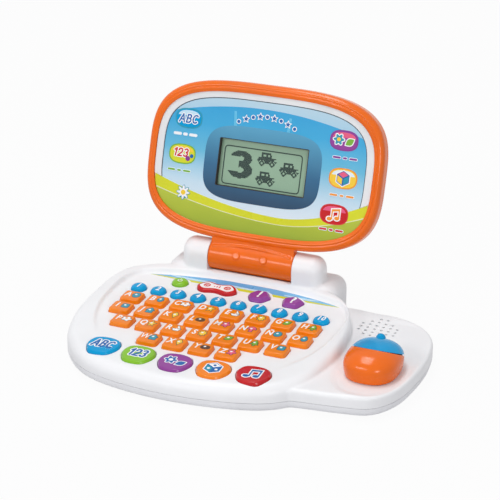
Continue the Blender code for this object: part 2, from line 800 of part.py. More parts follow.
def keyboard_block(bottom):
    """Outer wall, rounded crown and the soft slope down to the sunk deck."""
    rim = []
    for outer, inner in zip(body_outline(), recess_outline()):
        outer, inner = Vector(outer), Vector(inner)
        rim.append((outer, inner, (inner - outer).normalized(), (inner - outer).length / 2))
    rings = [level(body_outline(), bottom)]
    for step in range(CROWN_STEPS + 1):
        angle = pi / 2 * step / CROWN_STEPS
        ring = [outer + inward * min(CROWN_RADIUS, half) * (1 - cos(angle)) for outer, inner, inward, half in rim]
        rings.append(below_crown(ring, CROWN_RADIUS * (1 - sin(angle))))
    for step in range(SLOPE_STEPS + 1):
        share = step / SLOPE_STEPS
        ring = [inner - inward * min(RECESS_FLARE, half) * (1 - share) for outer, inner, inward, half in rim]
        fall = share ** 2 * (3 - 2 * share)
        rings.append([(x, y, crown_height(y) * (1 - fall) + deck_height(y) * fall) for x, y in ring])
    return loft("base_top_shell", rings)


def pad_block(bottom):
    """The wing at the right with the shallow dish that the mouse runs in."""
    pad = slab("pad", [pad_outline()], bottom, PAD_HEIGHT)
    round_edges(pad, PAD_RADIUS, EDGE_STEPS, at_height(PAD_HEIGHT))
    centre = (MOUSE_CENTRE[0], (PAD_BACK - PAD_FRONT) / 2)
    floor = superellipse(DISH_HALF_WIDTH, DISH_HALF_LENGTH, DISH_SQUARENESS, DISH_SIDES, centre)
    mouth = grow(floor, DISH_FLARE)
    cut(pad, loft("dish", [level(floor, PAD_FLOOR), level(mouth, PAD_FLOOR + 2 * PAD_DISH)]))
    return pad


def top_shell(deck, apron, root):
    bottom = PARTING_HEIGHT + GAP / 2
    shell = keyboard_block(bottom - WALL)
    pedestal = slab("pedestal", [pedestal_outline()], bottom - 3 * WALL, PEDESTAL_HEIGHT)
    round_edges(pedestal, PEDESTAL_EDGE, PEDESTAL_STEPS, at_height(PEDESTAL_HEIGHT))
    join(shell, pad_block(bottom - 2 * WALL), pedestal, knuckle("ear", 1), knuckle("ear", -1))
    trim(shell, bottom, keep="above")

    below = PARTING_HEIGHT - WALL
    inner = grow(body_outline(), -WALL)
    inside = loft("inside", [level(inner, below), below_crown(inner, CROWN_RADIUS),
                             below_crown(grow(inner, -CROWN_RADIUS / 2), WALL)])
    trim(inside, DECK_HEIGHT - WALL, DECK_SLOPE)
    pad_inside = slab("inside", [grow(pad_outline(), -WALL)], below, PAD_FLOOR - WALL)
    ceiling = HINGE_Z - BARREL_RADIUS - TROUGH_GAP - WALL
    pedestal_inside = slab("inside", [grow(pedestal_outline(), -WALL)], below, ceiling)
    cut(shell, inside, pad_inside, pedestal_inside)

    reach = BARREL_LENGTH / 2 + 2 * GAP + PIN_ENGAGEMENT
    bore = rod("bore", PIN_RADIUS + GAP, -reach, reach, ROD_SIDES, Matrix.Translation((0, HINGE_Y, HINGE_Z)) @ ALONG_X)
    cut(shell, hinge_trough(), bore)
    cut(shell, key_holes(key_table(), deck, KEY_CLEARANCE, HOLE_REACH))
    cut(shell, key_holes(activity_table(), apron, KEY_CLEARANCE, HOLE_REACH))
    cut(shell, key_holes(activity_table(), apron, FLANGE_WIDTH + KEY_CLEARANCE, -WALL - GAP / 2))
    cut(shell, speaker_holes(), mouse_window())
    return finish(shell, "white_shell", root)


def speaker_holes():
    holes = []
    for column, (first, last) in enumerate(HOLE_COLUMNS):
        for row in range(first, last + 1):
            centre = (HOLE_ORIGIN[0] + column * HOLE_PITCH, HOLE_ORIGIN[1] + row * HOLE_PITCH)
            holes.append(circle(HOLE_RADIUS, HOLE_SIDES, centre))
    return slab("holes", holes, PAD_FLOOR - 2 * WALL, PAD_HEIGHT + WALL)


def speaker_centre():
    columns = (len(HOLE_COLUMNS) - 1) / 2
    rows = (min(first for first, last in HOLE_COLUMNS) + max(last for first, last in HOLE_COLUMNS)) / 2
    return HOLE_ORIGIN[0] + columns * HOLE_PITCH, HOLE_ORIGIN[1] + rows * HOLE_PITCH


def mouse_window():
    span = 2 * (POST_RADIUS + MOUSE_TRAVEL + GAP)
    outline = rounded_rectangle(span, span, POST_RADIUS, 3, MOUSE_CENTRE)
    return slab("window", [outline], PAD_FLOOR - 2 * WALL, PAD_HEIGHT + WALL)


def bottom_shell(root, board_underside):
    outlines = (body_outline(), pad_outline(), pedestal_outline())
    top = PARTING_HEIGHT - GAP / 2
    floor = FOOT_HEIGHT + WALL
    trays = []
    for step, outline in enumerate(outlines):
        low = FOOT_HEIGHT + step * FLOOR_STEP
        tray = slab("base_bottom_shell", [outline], low, top + (step + 1) * WALL)
        round_edges(tray, SKIRT_RADIUS, EDGE_STEPS, at_height(low))
        trays.append(tray)
    shell = trays[0]
    join(shell, *trays[1:])
    trim(shell, top)
    for step, outline in enumerate(outlines):
        cut(shell, slab("inside", [grow(outline, -WALL)], floor + step * FLOOR_STEP, top + (step + 1) * WALL))
    for x, y in FOOT_PLACES:
        foot = rod("foot", FOOT_RADIUS, 0, floor - WALL / 2, ROD_SIDES, Matrix.Translation((x, y, 0)))
        join(shell, foot)
    for x, y in BOSS_PLACES:
        top_of_boss = board_underside(y) - GAP
        boss = rod("boss", BOSS_RADIUS, floor - WALL / 2, top_of_boss, BOSS_SIDES, Matrix.Translation((x, y, 0)))
        join(shell, boss)
    x, y = speaker_centre()
    stand_top = PAD_FLOOR - WALL - GAP - SPEAKER_THICKNESS - MAGNET_DEPTH - GAP
    join(shell, rod("stand", STAND_RADIUS, floor - WALL / 2, stand_top, ROD_SIDES, Matrix.Translation((x, y, 0))))

    seat = (CELL_BAY_WIDTH + 2 * CELL_LEDGE, CELL_BAY_DEPTH + 2 * CELL_LEDGE)
    bay_top = board_underside(-seat[1] / 2 - WALL) - GAP
    walls = rounded_rectangle(seat[0] + 2 * WALL, seat[1] + 2 * WALL, COVER_CORNER + WALL, 3)
    join(shell, slab("bay", [walls], floor - WALL / 2, bay_top))
    opening = rounded_rectangle(seat[0], seat[1], COVER_CORNER, 3)
    bay = rounded_rectangle(CELL_BAY_WIDTH, CELL_BAY_DEPTH, COVER_CORNER, 3)
    cut(shell, slab("seat", [opening], -WALL, floor + GAP))
    cut(shell, slab("bay", [bay], -WALL, bay_top - WALL))
    return finish(shell, "grey_shell", root)


def battery_cover(root):
    width = CELL_BAY_WIDTH + 2 * CELL_LEDGE - 2 * GAP
    depth = CELL_BAY_DEPTH + 2 * CELL_LEDGE - 2 * GAP
    outline = rounded_rectangle(width, depth, COVER_CORNER - GAP, 3)
    cover = slab("battery_cover", [outline], FOOT_HEIGHT, FOOT_HEIGHT + WALL)
    return finish(cover, "grey_shell", root)


def inner_pieces(deck):
    """Membrane and circuit board, parallel to the deck and clear of a pressed key."""
    membrane_top = -(WALL + GAP + FLANGE_THICKNESS + KEY_TRAVEL + GAP)
    outline = [(x, max(y, -MEMBRANE_FRONT)) for x, y in grow(recess_outline(), -MEMBRANE_INSET)]
    membrane = slab("key_membrane", [outline], membrane_top - MEMBRANE_THICKNESS, membrane_top)
    finish(membrane, "rubber", deck)
    board_top = membrane_top - MEMBRANE_THICKNESS - GAP
    outline = [(x, min(y, BOARD_BACK)) for x, y in grow(body_outline(), -BOARD_INSET)]
    board = slab("circuit_board", [outline], board_top - BOARD_THICKNESS, board_top)
    finish(board, "board", deck)
    return board_top - BOARD_THICKNESS


def speaker(root):
    x, y = speaker_centre()
    rim = PAD_FLOOR - WALL - GAP
    frame = rim - SPEAKER_THICKNESS
    base = frame - MAGNET_DEPTH
    profile = [(0, rim), (SPEAKER_RADIUS, rim), (SPEAKER_RADIUS, frame), (MAGNET_RADIUS, frame),
               (MAGNET_RADIUS, base), (0, base)]
    piece = turned("speaker", profile, SPEAKER_SIDES)
    piece.location = (x, y, 0)
    return finish(piece, "speaker", root)


# Mouse


def mouse_dome(name, low):
    """A rounded mouse hull standing on a height, its middle at the origin."""
    rise = MOUSE_HEIGHT - MOUSE_WAIST
    sections = [(MOUSE_TUCK, low), (1.0, low + MOUSE_WAIST)]
    for step in range(1, MOUSE_RINGS + 1):
        angle = pi / 2 * step / (MOUSE_RINGS + MOUSE_CAP)
        sections.append((cos(angle) ** MOUSE_FULLNESS, low + MOUSE_WAIST + rise * sin(angle)))
    rings = []
    for share, height in sections:
        plan = superellipse(share * MOUSE_WIDTH / 2, share * MOUSE_LENGTH / 2, MOUSE_SQUARENESS, MOUSE_SIDES)
        rings.append(level(plan, height))
    return loft(name, rings)


def above_seam(front_edge, fall, drop):
    """Everything above a plane that slants down to the back from the front edge of the mouse button."""
    far = 2 * MOUSE_LENGTH
    room = block("above_seam", (-far, -far, -drop), (far, far, far))
    room.data.transform(front_edge @ Matrix.Rotation(-fall, 4, "X"))
    return room


def mouse(root):
    """Carriage that runs left and right, mouse body that runs to and fro on it, rocking button."""
    x, y = MOUSE_CENTRE
    carriage_joint = empty("mouse_slide_x", root, Matrix.Translation((x, y, 0)))
    body_joint = empty("mouse_slide_y", carriage_joint, Matrix.Identity(4))
    low = PAD_FLOOR + GAP
    front_edge = Matrix.Translation((0, MOUSE_SEAM, low + SEAM_HEIGHT))
    button_joint = empty("mouse_button_hinge", body_joint, front_edge)

    top = PAD_FLOOR - WALL - GAP
    slot_width = 2 * (POST_RADIUS + GAP)
    slot_length = slot_width + 2 * MOUSE_TRAVEL
    plate = rounded_rectangle(slot_width + 2 * CARRIAGE_MARGIN, slot_length + 2 * CARRIAGE_MARGIN,
                              CARRIAGE_CORNER, 2)
    slot = rounded_rectangle(slot_width, slot_length, POST_RADIUS, 3)
    carriage = slab("mouse_carriage", [plate, slot], top - CARRIAGE_THICKNESS, top)
    finish(carriage, "grey_shell", carriage_joint)

    body = mouse_dome("mouse_body", low)
    cut(body, above_seam(front_edge, SEAM_FALL + BUTTON_ROCK, GAP))
    join(body, rod("post", POST_RADIUS, top - CARRIAGE_THICKNESS - WALL, low + WALL, ROD_SIDES))
    finish(body, "orange", body_joint)

    button = mouse_dome("mouse_button", low)
    combine(button, above_seam(front_edge, SEAM_FALL, 0.0), "INTERSECT")
    join(button, ball("nub", NUB_RADIUS, Matrix.Translation((0, NUB_Y, low + NUB_HEIGHT))))
    button.data.transform(front_edge.inverted())
    finish(button, "blue", button_joint)


# Lid


def knob(side):
    """A low round bump on the barrel's front."""
    depth = BARREL_RADIUS + KNOB_RISE - KNOB_RADIUS
    place = Matrix.Translation((side * KNOB_X, -depth * cos(KNOB_ANGLE), depth * sin(KNOB_ANGLE)))
    return ball("knob", KNOB_RADIUS, place)


def ridge(neck_front):
    """An arched moulding line over the barrel, sunk a little into its surface."""
    curve = bpy.data.curves.new("ridge", "CURVE")
    curve.dimensions = "3D"
    curve.bevel_depth = RIDGE_RADIUS
    curve.bevel_resolution = 0
    curve.use_fill_caps = True
    spline = curve.splines.new("POLY")
    spline.points.add(RIDGE_STEPS)
    for step, point in enumerate(spline.points):
        share = 2 * step / RIDGE_STEPS - 1
        up = RIDGE_LOW + RIDGE_ARCH * (1 - share ** 2)
        out = max(neck_front, (BARREL_RADIUS ** 2 - up ** 2) ** 0.5) - RIDGE_RADIUS / 3
        point.co = (share * RIDGE_HALF_LENGTH, -out, up, 1.0)
    return solid_from_curve("ridge", curve)


def lid(root):
    """Front frame with its hinge barrel, back shell, printed panel and display, drawn upright at the hinge."""
    joint_place = Matrix.Translation((0, HINGE_Y, HINGE_Z)) @ Matrix.Rotation(-LID_RECLINE, 4, "X")
    joint = empty("lid_hinge", root, joint_place)
    parting = GAP / 2
    lens_face = LID_FRONT - RIM_RISE
    lens_back = lens_face - LENS_THICKNESS

    frame = slab("lid_front_frame", [lid_outline()], parting, LID_FRONT)
    round_edges(frame, LID_FRONT_RADIUS, EDGE_STEPS, at_height(LID_FRONT))
    cut(frame, slab("seat", [lid_outline(RIM_WIDTH)], lens_back - GAP, 2 * LID_FRONT))
    cut(frame, slab("opening", [lid_outline(RIM_WIDTH + LENS_LEDGE)], -LID_FRONT, 2 * LID_FRONT))
    frame.data.transform(STAND)
    half = BARREL_LENGTH / 2
    neck_half = half - NECK_MARGIN
    barrel = rod("barrel", BARREL_RADIUS, -half, half, BARREL_SIDES, ALONG_X)
    neck_top = LID_FOOT + RIM_WIDTH / 2
    for side in (-1, 1):
        join(barrel, knob(side))
    join(barrel, block("neck", (-neck_half, -lens_face, 0), (neck_half, -NECK_MARGIN, neck_top)))
    join(barrel, ridge(lens_face))
    join(frame, barrel)
    cut(frame, rod("bore", PIN_RADIUS + GAP, -BARREL_LENGTH, BARREL_LENGTH, ROD_SIDES, ALONG_X))
    finish(frame, "orange", joint)

    back = slab("lid_back_shell", [lid_outline()], -LID_BACK, -parting)
    round_edges(back, LID_BACK_RADIUS, EDGE_STEPS, at_height(-LID_BACK))
    cut(back, slab("inside", [lid_outline(WALL)], WALL - LID_BACK, LID_FRONT))
    back.data.transform(STAND)
    finish(back, "orange", joint)

    middle = (0.0, LID_FOOT + LID_HALF_HEIGHT - WINDOW_DROP)
    window = rounded_rectangle(WINDOW_WIDTH, WINDOW_HEIGHT, WINDOW_CORNER, 1, middle)
    panel = slab("screen_panel", [lid_outline(RIM_WIDTH + GAP), window], lens_back, lens_face, STAND)
    finish(panel, "panel", joint)

    width = WINDOW_WIDTH + 2 * DISPLAY_MARGIN
    height = WINDOW_HEIGHT + 2 * DISPLAY_MARGIN
    face = lens_back - GAP
    outline = rounded_rectangle(width, height, DISPLAY_CORNER, 2, middle)
    display = slab("display_module", [outline], face - DISPLAY_THICKNESS, face, STAND)
    finish(display, "display", joint)

    reach = half + GAP + PIN_ENGAGEMENT
    pin = rod("hinge_pin", PIN_RADIUS, -reach, reach, ROD_SIDES, ALONG_X)
    finish(pin, "steel", joint)


def centre_on_floor(root):
    """Move the whole object so that its box stands on the origin."""
    bpy.context.view_layer.update()
    graph = bpy.context.evaluated_depsgraph_get()
    corners = []
    for obj in PARTS.objects:
        if obj.type == "MESH":
            whole = obj.evaluated_get(graph)
            corners += [whole.matrix_world @ vertex.co for vertex in whole.data.vertices]
    low = Vector(min(corner[axis] for corner in corners) for axis in range(3))
    high = Vector(max(corner[axis] for corner in corners) for axis in range(3))
    root.location = (-(low.x + high.x) / 2, -(low.y + high.y) / 2, -low.z)
    bpy.context.view_layer.update()
    print("size", [round(value / MM, 1) for value in high - low])
    for obj in PARTS.objects:
        if obj.type == "EMPTY":
            print(obj.name, [round(value, 5) for value in obj.matrix_world.translation])


def build():
    root = empty("laptop", None, Matrix.Identity(4))
    deck = empty("key_deck", root, plane_frame(DECK_HEIGHT, DECK_SLOPE))
    apron = empty("apron", root, plane_frame(CROWN_HEIGHT, CROWN_SLOPE))
    bpy.context.view_layer.update()
    underside = inner_pieces(deck)
    top_shell(deck, apron, root)
    bottom_shell(root, lambda y: DECK_HEIGHT + underside + DECK_SLOPE * y)
    battery_cover(root)
    make_keys(key_table(), deck)
    make_keys(activity_table(), apron)
    speaker(root)
    mouse(root)
    lid(root)
    centre_on_floor(root)


clear_scene()
PARTS = new_collection("toy_laptop")
build()
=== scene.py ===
import json
from math import asin, atan, atan2, copysign, cos, degrees, hypot, pi, radians, sin

import bmesh
import bpy
from mathutils import Matrix, Vector

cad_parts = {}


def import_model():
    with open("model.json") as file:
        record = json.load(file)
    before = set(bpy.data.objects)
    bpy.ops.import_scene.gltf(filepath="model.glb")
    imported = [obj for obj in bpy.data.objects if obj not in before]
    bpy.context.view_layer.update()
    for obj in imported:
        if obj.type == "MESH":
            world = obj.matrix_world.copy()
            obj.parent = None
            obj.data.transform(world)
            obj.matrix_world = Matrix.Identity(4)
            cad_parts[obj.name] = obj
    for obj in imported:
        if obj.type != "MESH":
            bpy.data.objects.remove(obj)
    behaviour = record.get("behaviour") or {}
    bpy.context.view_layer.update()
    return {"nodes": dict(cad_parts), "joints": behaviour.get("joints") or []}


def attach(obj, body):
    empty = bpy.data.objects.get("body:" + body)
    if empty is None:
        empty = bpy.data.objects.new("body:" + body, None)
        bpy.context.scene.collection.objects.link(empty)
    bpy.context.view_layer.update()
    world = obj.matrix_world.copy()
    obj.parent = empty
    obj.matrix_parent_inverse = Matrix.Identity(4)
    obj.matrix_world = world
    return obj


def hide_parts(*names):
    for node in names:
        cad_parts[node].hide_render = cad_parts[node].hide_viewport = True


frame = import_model()

# Lengths are in millimetres, in frames that scale to metres
MM = 0.001
WALL = 2.0
GAP = 0.3
FAR = 300

# Points on the large outlines
FINE = 168

# Base, with sloping planes given as a height in the middle and a slope
PARTING = 8.8
CROWN = (26.05, 0.07)
CROWN_RADIUS = 8.0
DECK_PLANE = (24.0, 0.035)
SLOPE_WIDTH = 3.0
CREST = 0.9
PEDESTAL_TOP = 32.605
PEDESTAL_RADIUS = 9.0
PAD_TOP = 17.6
PAD_FLOOR = 16.8
PAD_RADIUS = 3.0
DISH_HALF = (24.0, 55.5)
DISH_Y = -2.5
MOUSE_WINDOW = 18.6
UNDERSIDE = 1.5
TRAY_FLOOR = UNDERSIDE + WALL
FEET = ((-78.0, -60.52), (60.5, -60.52), (130.0, -43.0), (130.0, 38.0), (-78.0, 41.0), (34.0, 69.0))
BOSSES = ((-70.0, -40.0), (70.0, -40.0), (-70.0, 35.0), (70.0, 35.0))
FOOT_RADIUS = 7.0
BOSS_RADIUS = 4.6
SCREW_RADIUS = 2.3
BATTERY_BOX = (56.0, 40.0)

# Speaker, with the first and last row of holes in each column
SPEAKER_CENTRE = (109.7, 40.6)
SPEAKER_POST = 7.0
SPEAKER_CORNER = (96.7, 22.4)
SPEAKER_PITCH = 5.2
SPEAKER_HOLE = 1.1
SPEAKER_COLUMNS = ((2, 4), (1, 5), (1, 6), (2, 6), (2, 5), (2, 4))

# Hinge
RECLINE = radians(17.6)
HINGE_Y = 69.0
HINGE_Z = 40.205
BARREL_RADIUS = 11.5
BARREL_HALF = 34.0
TROUGH_GAP = 1.05
PIN_BORE = 2.8
PIN_REACH = 17.6
EAR_FOOT = 22.0
EAR_WIDTH = 22.5
EAR_RADIUS = 8.5
NECK_HALF = 33.4

# Keys, with the place of each letter row's first key in key pitches
KEY_MARGIN = 0.35
FLANGE = 1.1
FLANGE_ROOM = 1.45
KEY_TOP = 3.0
SIGN_LOW = 2.8
SIGN_HIGH = 3.05
KEY_PITCH = 20.0
ROW_PITCH = 17.94
FIRST_ROW = 2.4
LETTER_ROWS = (
    ("a b c d e f g h", -3.5), ("i j k l m n enye o", -3.5), ("p q r s t u v", -3.0), ("w x y z", -1.5),
)
LETTER_PLACES = [
    (letter, ((column + shift) * KEY_PITCH, FIRST_ROW - row * ROW_PITCH))
    for row, (letters, shift) in enumerate(LETTER_ROWS) for column, letter in enumerate(letters.split())
]
NUMBER_RADIUS = 6.0
NUMBER_PITCH = 16.2
NUMBER_Y = 19.1
NUMBER_PLACES = [(number, ((number - 5.5) * NUMBER_PITCH, NUMBER_Y)) for number in range(1, 11)]
POWER_RADIUS = 6.3
POLYGON_RADIUS = 9.2
FUNCTION_Y = 37.7
ACTIVITY_TOP = 1.8
ACTIVITY_PITCH = 28.5
ACTIVITY_Y = -73.32
ACTIVITY_BEND = 3.5
ACTIVITY_LOOKS = (("letters_button", "blue"), ("numbers_button", "green"), ("nature_button", "purple"),
                  ("puzzle_button", "key_orange"), ("music_button", "red"))
ACTIVITY_PLACES = [
    (ACTIVITY_PITCH * step, ACTIVITY_Y + ACTIVITY_BEND * (step / 2) ** 2) for step in range(-2, 3)
]

# Mouse
MOUSE_CENTRE = (127.0, -22.5)
MOUSE_FOOT = PAD_FLOOR + GAP
MOUSE_HALF = (19.5, 24.0)
MOUSE_HEIGHT = 19.4
MOUSE_WAIST = 8.0
SEAM_EDGE = (0.0, -6.6, 36.306)
SEAM_FALL = radians(26.5)
ROCKED = SEAM_FALL + radians(2.7)

# Lid
LID_HALF = (94.0, 60.0)
LID_MIDDLE = 72.3
LID_WELLS = [(side * 66.0, LID_MIDDLE + up) for side in (-1, 1) for up in (-45.5, 45.5)]
RIM_EDGE = 5.2
RIM_RADIUS = 5.0
BACK_EDGE = -1.3
BACK_RADIUS = 6.5
BACK_FACE = -6.9
LCD_MIDDLE = 70.9
PANEL_FACE = 8.2
LCD_FACE = 5.9
GLASS_FACE = 4.4
CELL = 0.75


def raised(height):
    return Matrix.Translation((0, 0, height))


def plane_frame(height, slope):
    return raised(height) @ Matrix.Rotation(atan(slope), 4, "X")


HINGE = Vector(next(joint for joint in frame["joints"] if joint["name"] == "lid_hinge")["pos_m"])
UNITS = Matrix.Scale(MM, 4)
ROOT = Matrix.Translation((HINGE.x, HINGE.y - HINGE_Y * MM, 0)) @ UNITS
DECK = ROOT @ plane_frame(*DECK_PLANE)
APRON = ROOT @ plane_frame(*CROWN)
MOUSE = ROOT @ Matrix.Translation((*MOUSE_CENTRE, 0))
UPRIGHT = Matrix(((1, 0, 0), (0, 0, -1), (0, 1, 0))).to_4x4()
LID = Matrix.Translation(HINGE) @ Matrix.Rotation(-RECLINE, 4, "X") @ UNITS @ UPRIGHT
LID_UP = (LID.to_3x3() @ Vector((0, 1, 0))).normalized()


# Materials


def opaque(colour):
    """A colour given as screen values from 0 to 255, as the linear values shaders take."""
    shares = [value / 255 for value in colour]
    return (*(s / 12.92 if s <= 0.04045 else ((s + 0.055) / 1.055) ** 2.4 for s in shares), 1.0)


def plug(tree, node, socket, value):
    """Set a node's socket, or link it where the value is another node's output."""
    if isinstance(value, bpy.types.NodeSocket):
        tree.links.new(value, node.inputs[socket])
    else:
        node.inputs[socket].default_value = value


def add_node(tree, kind, sockets, **settings):
    node = tree.nodes.new("ShaderNode" + kind)
    for name, value in settings.items():
        setattr(node, name, value)
    for socket, value in sockets.items():
        plug(tree, node, socket, value)
    return node


def new_material(name):
    material = bpy.data.materials.new(name)
    material.use_nodes = True
    tree = material.node_tree
    return material, tree, tree.nodes["Principled BSDF"], add_node(tree, "TexCoord", {}).outputs["Object"]


def noise(tree, place, scale, detail=2.0):
    return add_node(tree, "TexNoise", {"Scale": scale, "Detail": detail, "Vector": place}).outputs["Fac"]


def spread(tree, value, low, high):
    """A texture value stretched to run between two numbers."""
    ends = {"From Min": 0.3, "From Max": 0.7, "To Min": low, "To Max": high}
    return add_node(tree, "MapRange", {"Value": value, **ends}).outputs["Result"]


def ramp(tree, value, stops):
    node = add_node(tree, "ValToRGB", {"Fac": value})
    elements = node.color_ramp.elements
    while len(elements) < len(stops):
        elements.new(0.5)
    for element, (place, colour) in zip(elements, stops):
        element.position = place
        element.color = opaque(colour)
    return node.outputs["Color"]


def mottled(tree, place, dark, colour, scale, detail=2.0):
    """A colour that is darker in soft patches."""
    tint = spread(tree, noise(tree, place, scale, detail), 0.0, 1.0)
    return ramp(tree, tint, [(0.0, dark), (1.0, colour)])


def shaded(colour, shade):
    return tuple(value * shade for value in colour)


def grain(tree, shader, place, scale, depth, roughness, change):
    """Fine moulded texture, with a gloss that changes a little over the surface."""
    texture = noise(tree, place, scale)
    bump = add_node(tree, "Bump", {"Strength": depth, "Distance": 0.0002, "Height": texture})
    plug(tree, shader, "Normal", bump.outputs["Normal"])
    shine = noise(tree, place, 55.0, 4.0)
    plug(tree, shader, "Roughness", spread(tree, shine, roughness - change, roughness + change))


def plastic(name, colour, roughness=0.25, scale=1400.0, depth=0.03, shade=0.93, sheen=0.32):
    """Moulded plastic: slightly uneven colour, fine grain, uneven gloss."""
    material, tree, shader, place = new_material(name)
    tint = mottled(tree, place, shaded(colour, shade), colour, scale=38.0, detail=3.0)
    plug(tree, shader, "Base Color", tint)
    grain(tree, shader, place, scale, depth, roughness, roughness * 0.16)
    plug(tree, shader, "Specular IOR Level", sheen)
    return material


def ink(name, colour):
    """Printed ink: a faint screen-print mottle under a satin varnish."""
    return plastic(name, colour, roughness=0.3, scale=2600.0, depth=0.02, shade=0.97)


def graded(name, stops, along, start, end, roughness=0.22, streak=0.0):
    """A print that changes colour along a direction, between two distances from the origin in metres."""
    material, tree, shader, place = new_material(name)
    distance = add_node(tree, "VectorMath", {0: place, 1: along}, operation="DOT_PRODUCT").outputs["Value"]
    ends = {"From Min": start, "From Max": end}
    value = add_node(tree, "MapRange", {"Value": distance, **ends}).outputs["Result"]
    if streak:
        parts = {0: noise(tree, place, 45.0, 3.0), 1: streak, 2: value}
        value = add_node(tree, "Math", parts, operation="MULTIPLY_ADD").outputs["Value"]
    plug(tree, shader, "Base Color", ramp(tree, value, stops))
    grain(tree, shader, place, scale=2600.0, depth=0.02, roughness=roughness, change=0.05)
    return material


def metal(name, colour, roughness):
    material, tree, shader, place = new_material(name)
    plug(tree, shader, "Base Color", mottled(tree, place, shaded(colour, 0.85), colour, scale=160.0))
    plug(tree, shader, "Metallic", 1.0)
    grain(tree, shader, place, scale=900.0, depth=0.08, roughness=roughness, change=0.08)
    return material


def liquid_crystal(name):
    """Grey-green glass with a fine grid of unlit cells."""
    material, tree, shader, place = new_material(name)
    facing = add_node(tree, "Mapping", {"Vector": place, "Rotation": (RECLINE - pi / 2, 0, 0)})
    cells = add_node(tree, "TexBrick", {
        "Vector": facing.outputs["Vector"], "Scale": 1.0, "Brick Width": CELL * MM, "Row Height": CELL * MM,
        "Mortar Size": 0.00006, "Color1": opaque((146, 178, 152)), "Color2": opaque((143, 176, 149)),
        "Mortar": opaque((136, 168, 143)),
    }, offset=0.0)
    plug(tree, shader, "Base Color", cells.outputs["Color"])
    grain(tree, shader, place, scale=1500.0, depth=0.01, roughness=0.32, change=0.05)
    return material


# Colour, roughness, grain scale, grain depth, darkest shade and, where it isn't the usual one, sheen
PLASTICS = {
    "white_shell": ((242, 242, 244), 0.38, 2200.0, 0.05, 0.985),
    "grey_shell": ((236, 236, 239), 0.45, 1800.0, 0.10, 0.98),
    "orange": ((242, 108, 4), 0.19, 1500.0, 0.02, 0.96, 0.34),
    "key_orange": ((246, 132, 14), 0.18, 1700.0, 0.02, 0.96, 0.34),
    "blue": ((0, 158, 216), 0.16, 1500.0, 0.02, 0.95, 0.14),
    "green": ((134, 194, 38), 0.18, 1500.0, 0.02, 0.95),
    "purple": ((150, 64, 156), 0.18, 1500.0, 0.02, 0.94),
    "red": ((202, 20, 28), 0.18, 1500.0, 0.02, 0.94),
    "panel": ((232, 234, 236), 0.20, 1200.0, 0.02, 0.97),
    "board": ((38, 110, 58), 0.45, 420.0, 0.35, 0.80),
    "rubber": ((186, 186, 182), 0.65, 900.0, 0.15, 0.93),
    "speaker": ((48, 48, 52), 0.60, 700.0, 0.40, 0.80),
    # Near-black with a red cast: painted shade, with orange light bounced into it, for the display window's
    # sides and the mouse's seam gap; also the colour of the frame behind the window
    "painted_shade_liner": ((34, 18, 18), 0.40, 1500.0, 0.05, 0.85),
}
INKS = {
    "white_ink": (248, 248, 250), "blue_ink": (18, 98, 172), "pale_blue_ink": (196, 228, 246),
    "cloud_ink": (226, 240, 249), "pale_sky_ink": (96, 190, 228), "teal_ink": (34, 150, 176),
    "green_ink": (120, 178, 52), "lime_ink": (214, 218, 40), "pale_grass_ink": (226, 234, 190),
    "yellow_ink": (248, 206, 60), "pink_ink": (232, 92, 132), "red_ink": (208, 40, 46),
    "orange_ink": (244, 150, 44), "purple_ink": (134, 52, 146), "brown_ink": (92, 58, 36),
    "dark_ink": (44, 54, 60), "line_ink": (66, 82, 96), "pixel_ink": (46, 66, 60),
}
# Distances up the lid in metres, streak and colours of the prints on it
LID_PRINTS = {
    "sky": (0.030, 0.112, 0.05, [(0.0, (226, 236, 244)), (0.30, (196, 222, 238)), (0.60, (98, 184, 218)),
                                 (0.85, (48, 166, 216)), (1.0, (36, 160, 214))]),
    "high_sky": (0.098, 0.122, 0.10, [(0.0, (150, 200, 226)), (1.0, (186, 214, 230))]),
    "grass": (0.018, 0.050, 0.20, [(0.0, (140, 166, 36)), (0.55, (170, 186, 46)), (1.0, (182, 196, 58))]),
    "surround": (0.041, 0.101, 0.0, [(0.0, (14, 58, 90)), (0.45, (34, 98, 138)), (1.0, (80, 160, 196))]),
}
BAND = [(0.0, (64, 148, 214)), (0.35, (110, 182, 228)), (0.62, (84, 160, 218)), (1.0, (120, 190, 232))]
LOOKS = {name: plastic(name, *values) for name, values in PLASTICS.items()}
LOOKS.update({name: ink(name, colour) for name, colour in INKS.items()})
for print_name, (near, far, streaks, colours) in LID_PRINTS.items():
    ends_up = [HINGE.dot(LID_UP) + distance for distance in (near, far)]
    LOOKS[print_name] = graded(print_name, colours, LID_UP, *ends_up, streak=streaks)
LOOKS["band"] = graded("band", BAND, (0.97, 0.24, 0.0), HINGE.x - 0.080, HINGE.x + 0.095,
                       roughness=0.3, streak=0.25)
LOOKS["display"] = liquid_crystal("display")
LOOKS["steel"] = metal("steel", (190, 190, 194), roughness=0.30)


# Outlines in millimetres


def around(outline, index, shifts):
    """Points of a closed outline at steps before and after one of them."""
    return [Vector(outline[(index + shift) % len(outline)]) for shift in shifts]


def smooth_loop(points, steps):
    """Points on a closed smooth curve through the given ones."""
    loop = []
    for index in range(len(points)):
        before, start, end, after = around(points, index, (-1, 0, 1, 2))
        for step in range(steps):
            t = step / steps
            bend = start * 2 + (end - before) * t
            bend += (before * 2 - start * 5 + end * 4 - after) * t ** 2
            bend += (start * 3 - before - end * 3 + after) * t ** 3
            loop.append(tuple(bend / 2))
    return loop


def grow(outline, distance):
    """The outline moved outward by a distance, with mitred corners."""
    grown = []
    for index in range(len(outline)):
        before, here, after = around(outline, index, (-1, 0, 1))
        arriving = (here - before).normalized()
        leaving = (after - here).normalized()
        first = Vector((arriving.y, -arriving.x))
        second = Vector((leaving.y, -leaving.x))
        grown.append(tuple(here + (first + second) * (distance / max(1 + first.dot(second), 0.3))))
    return grown


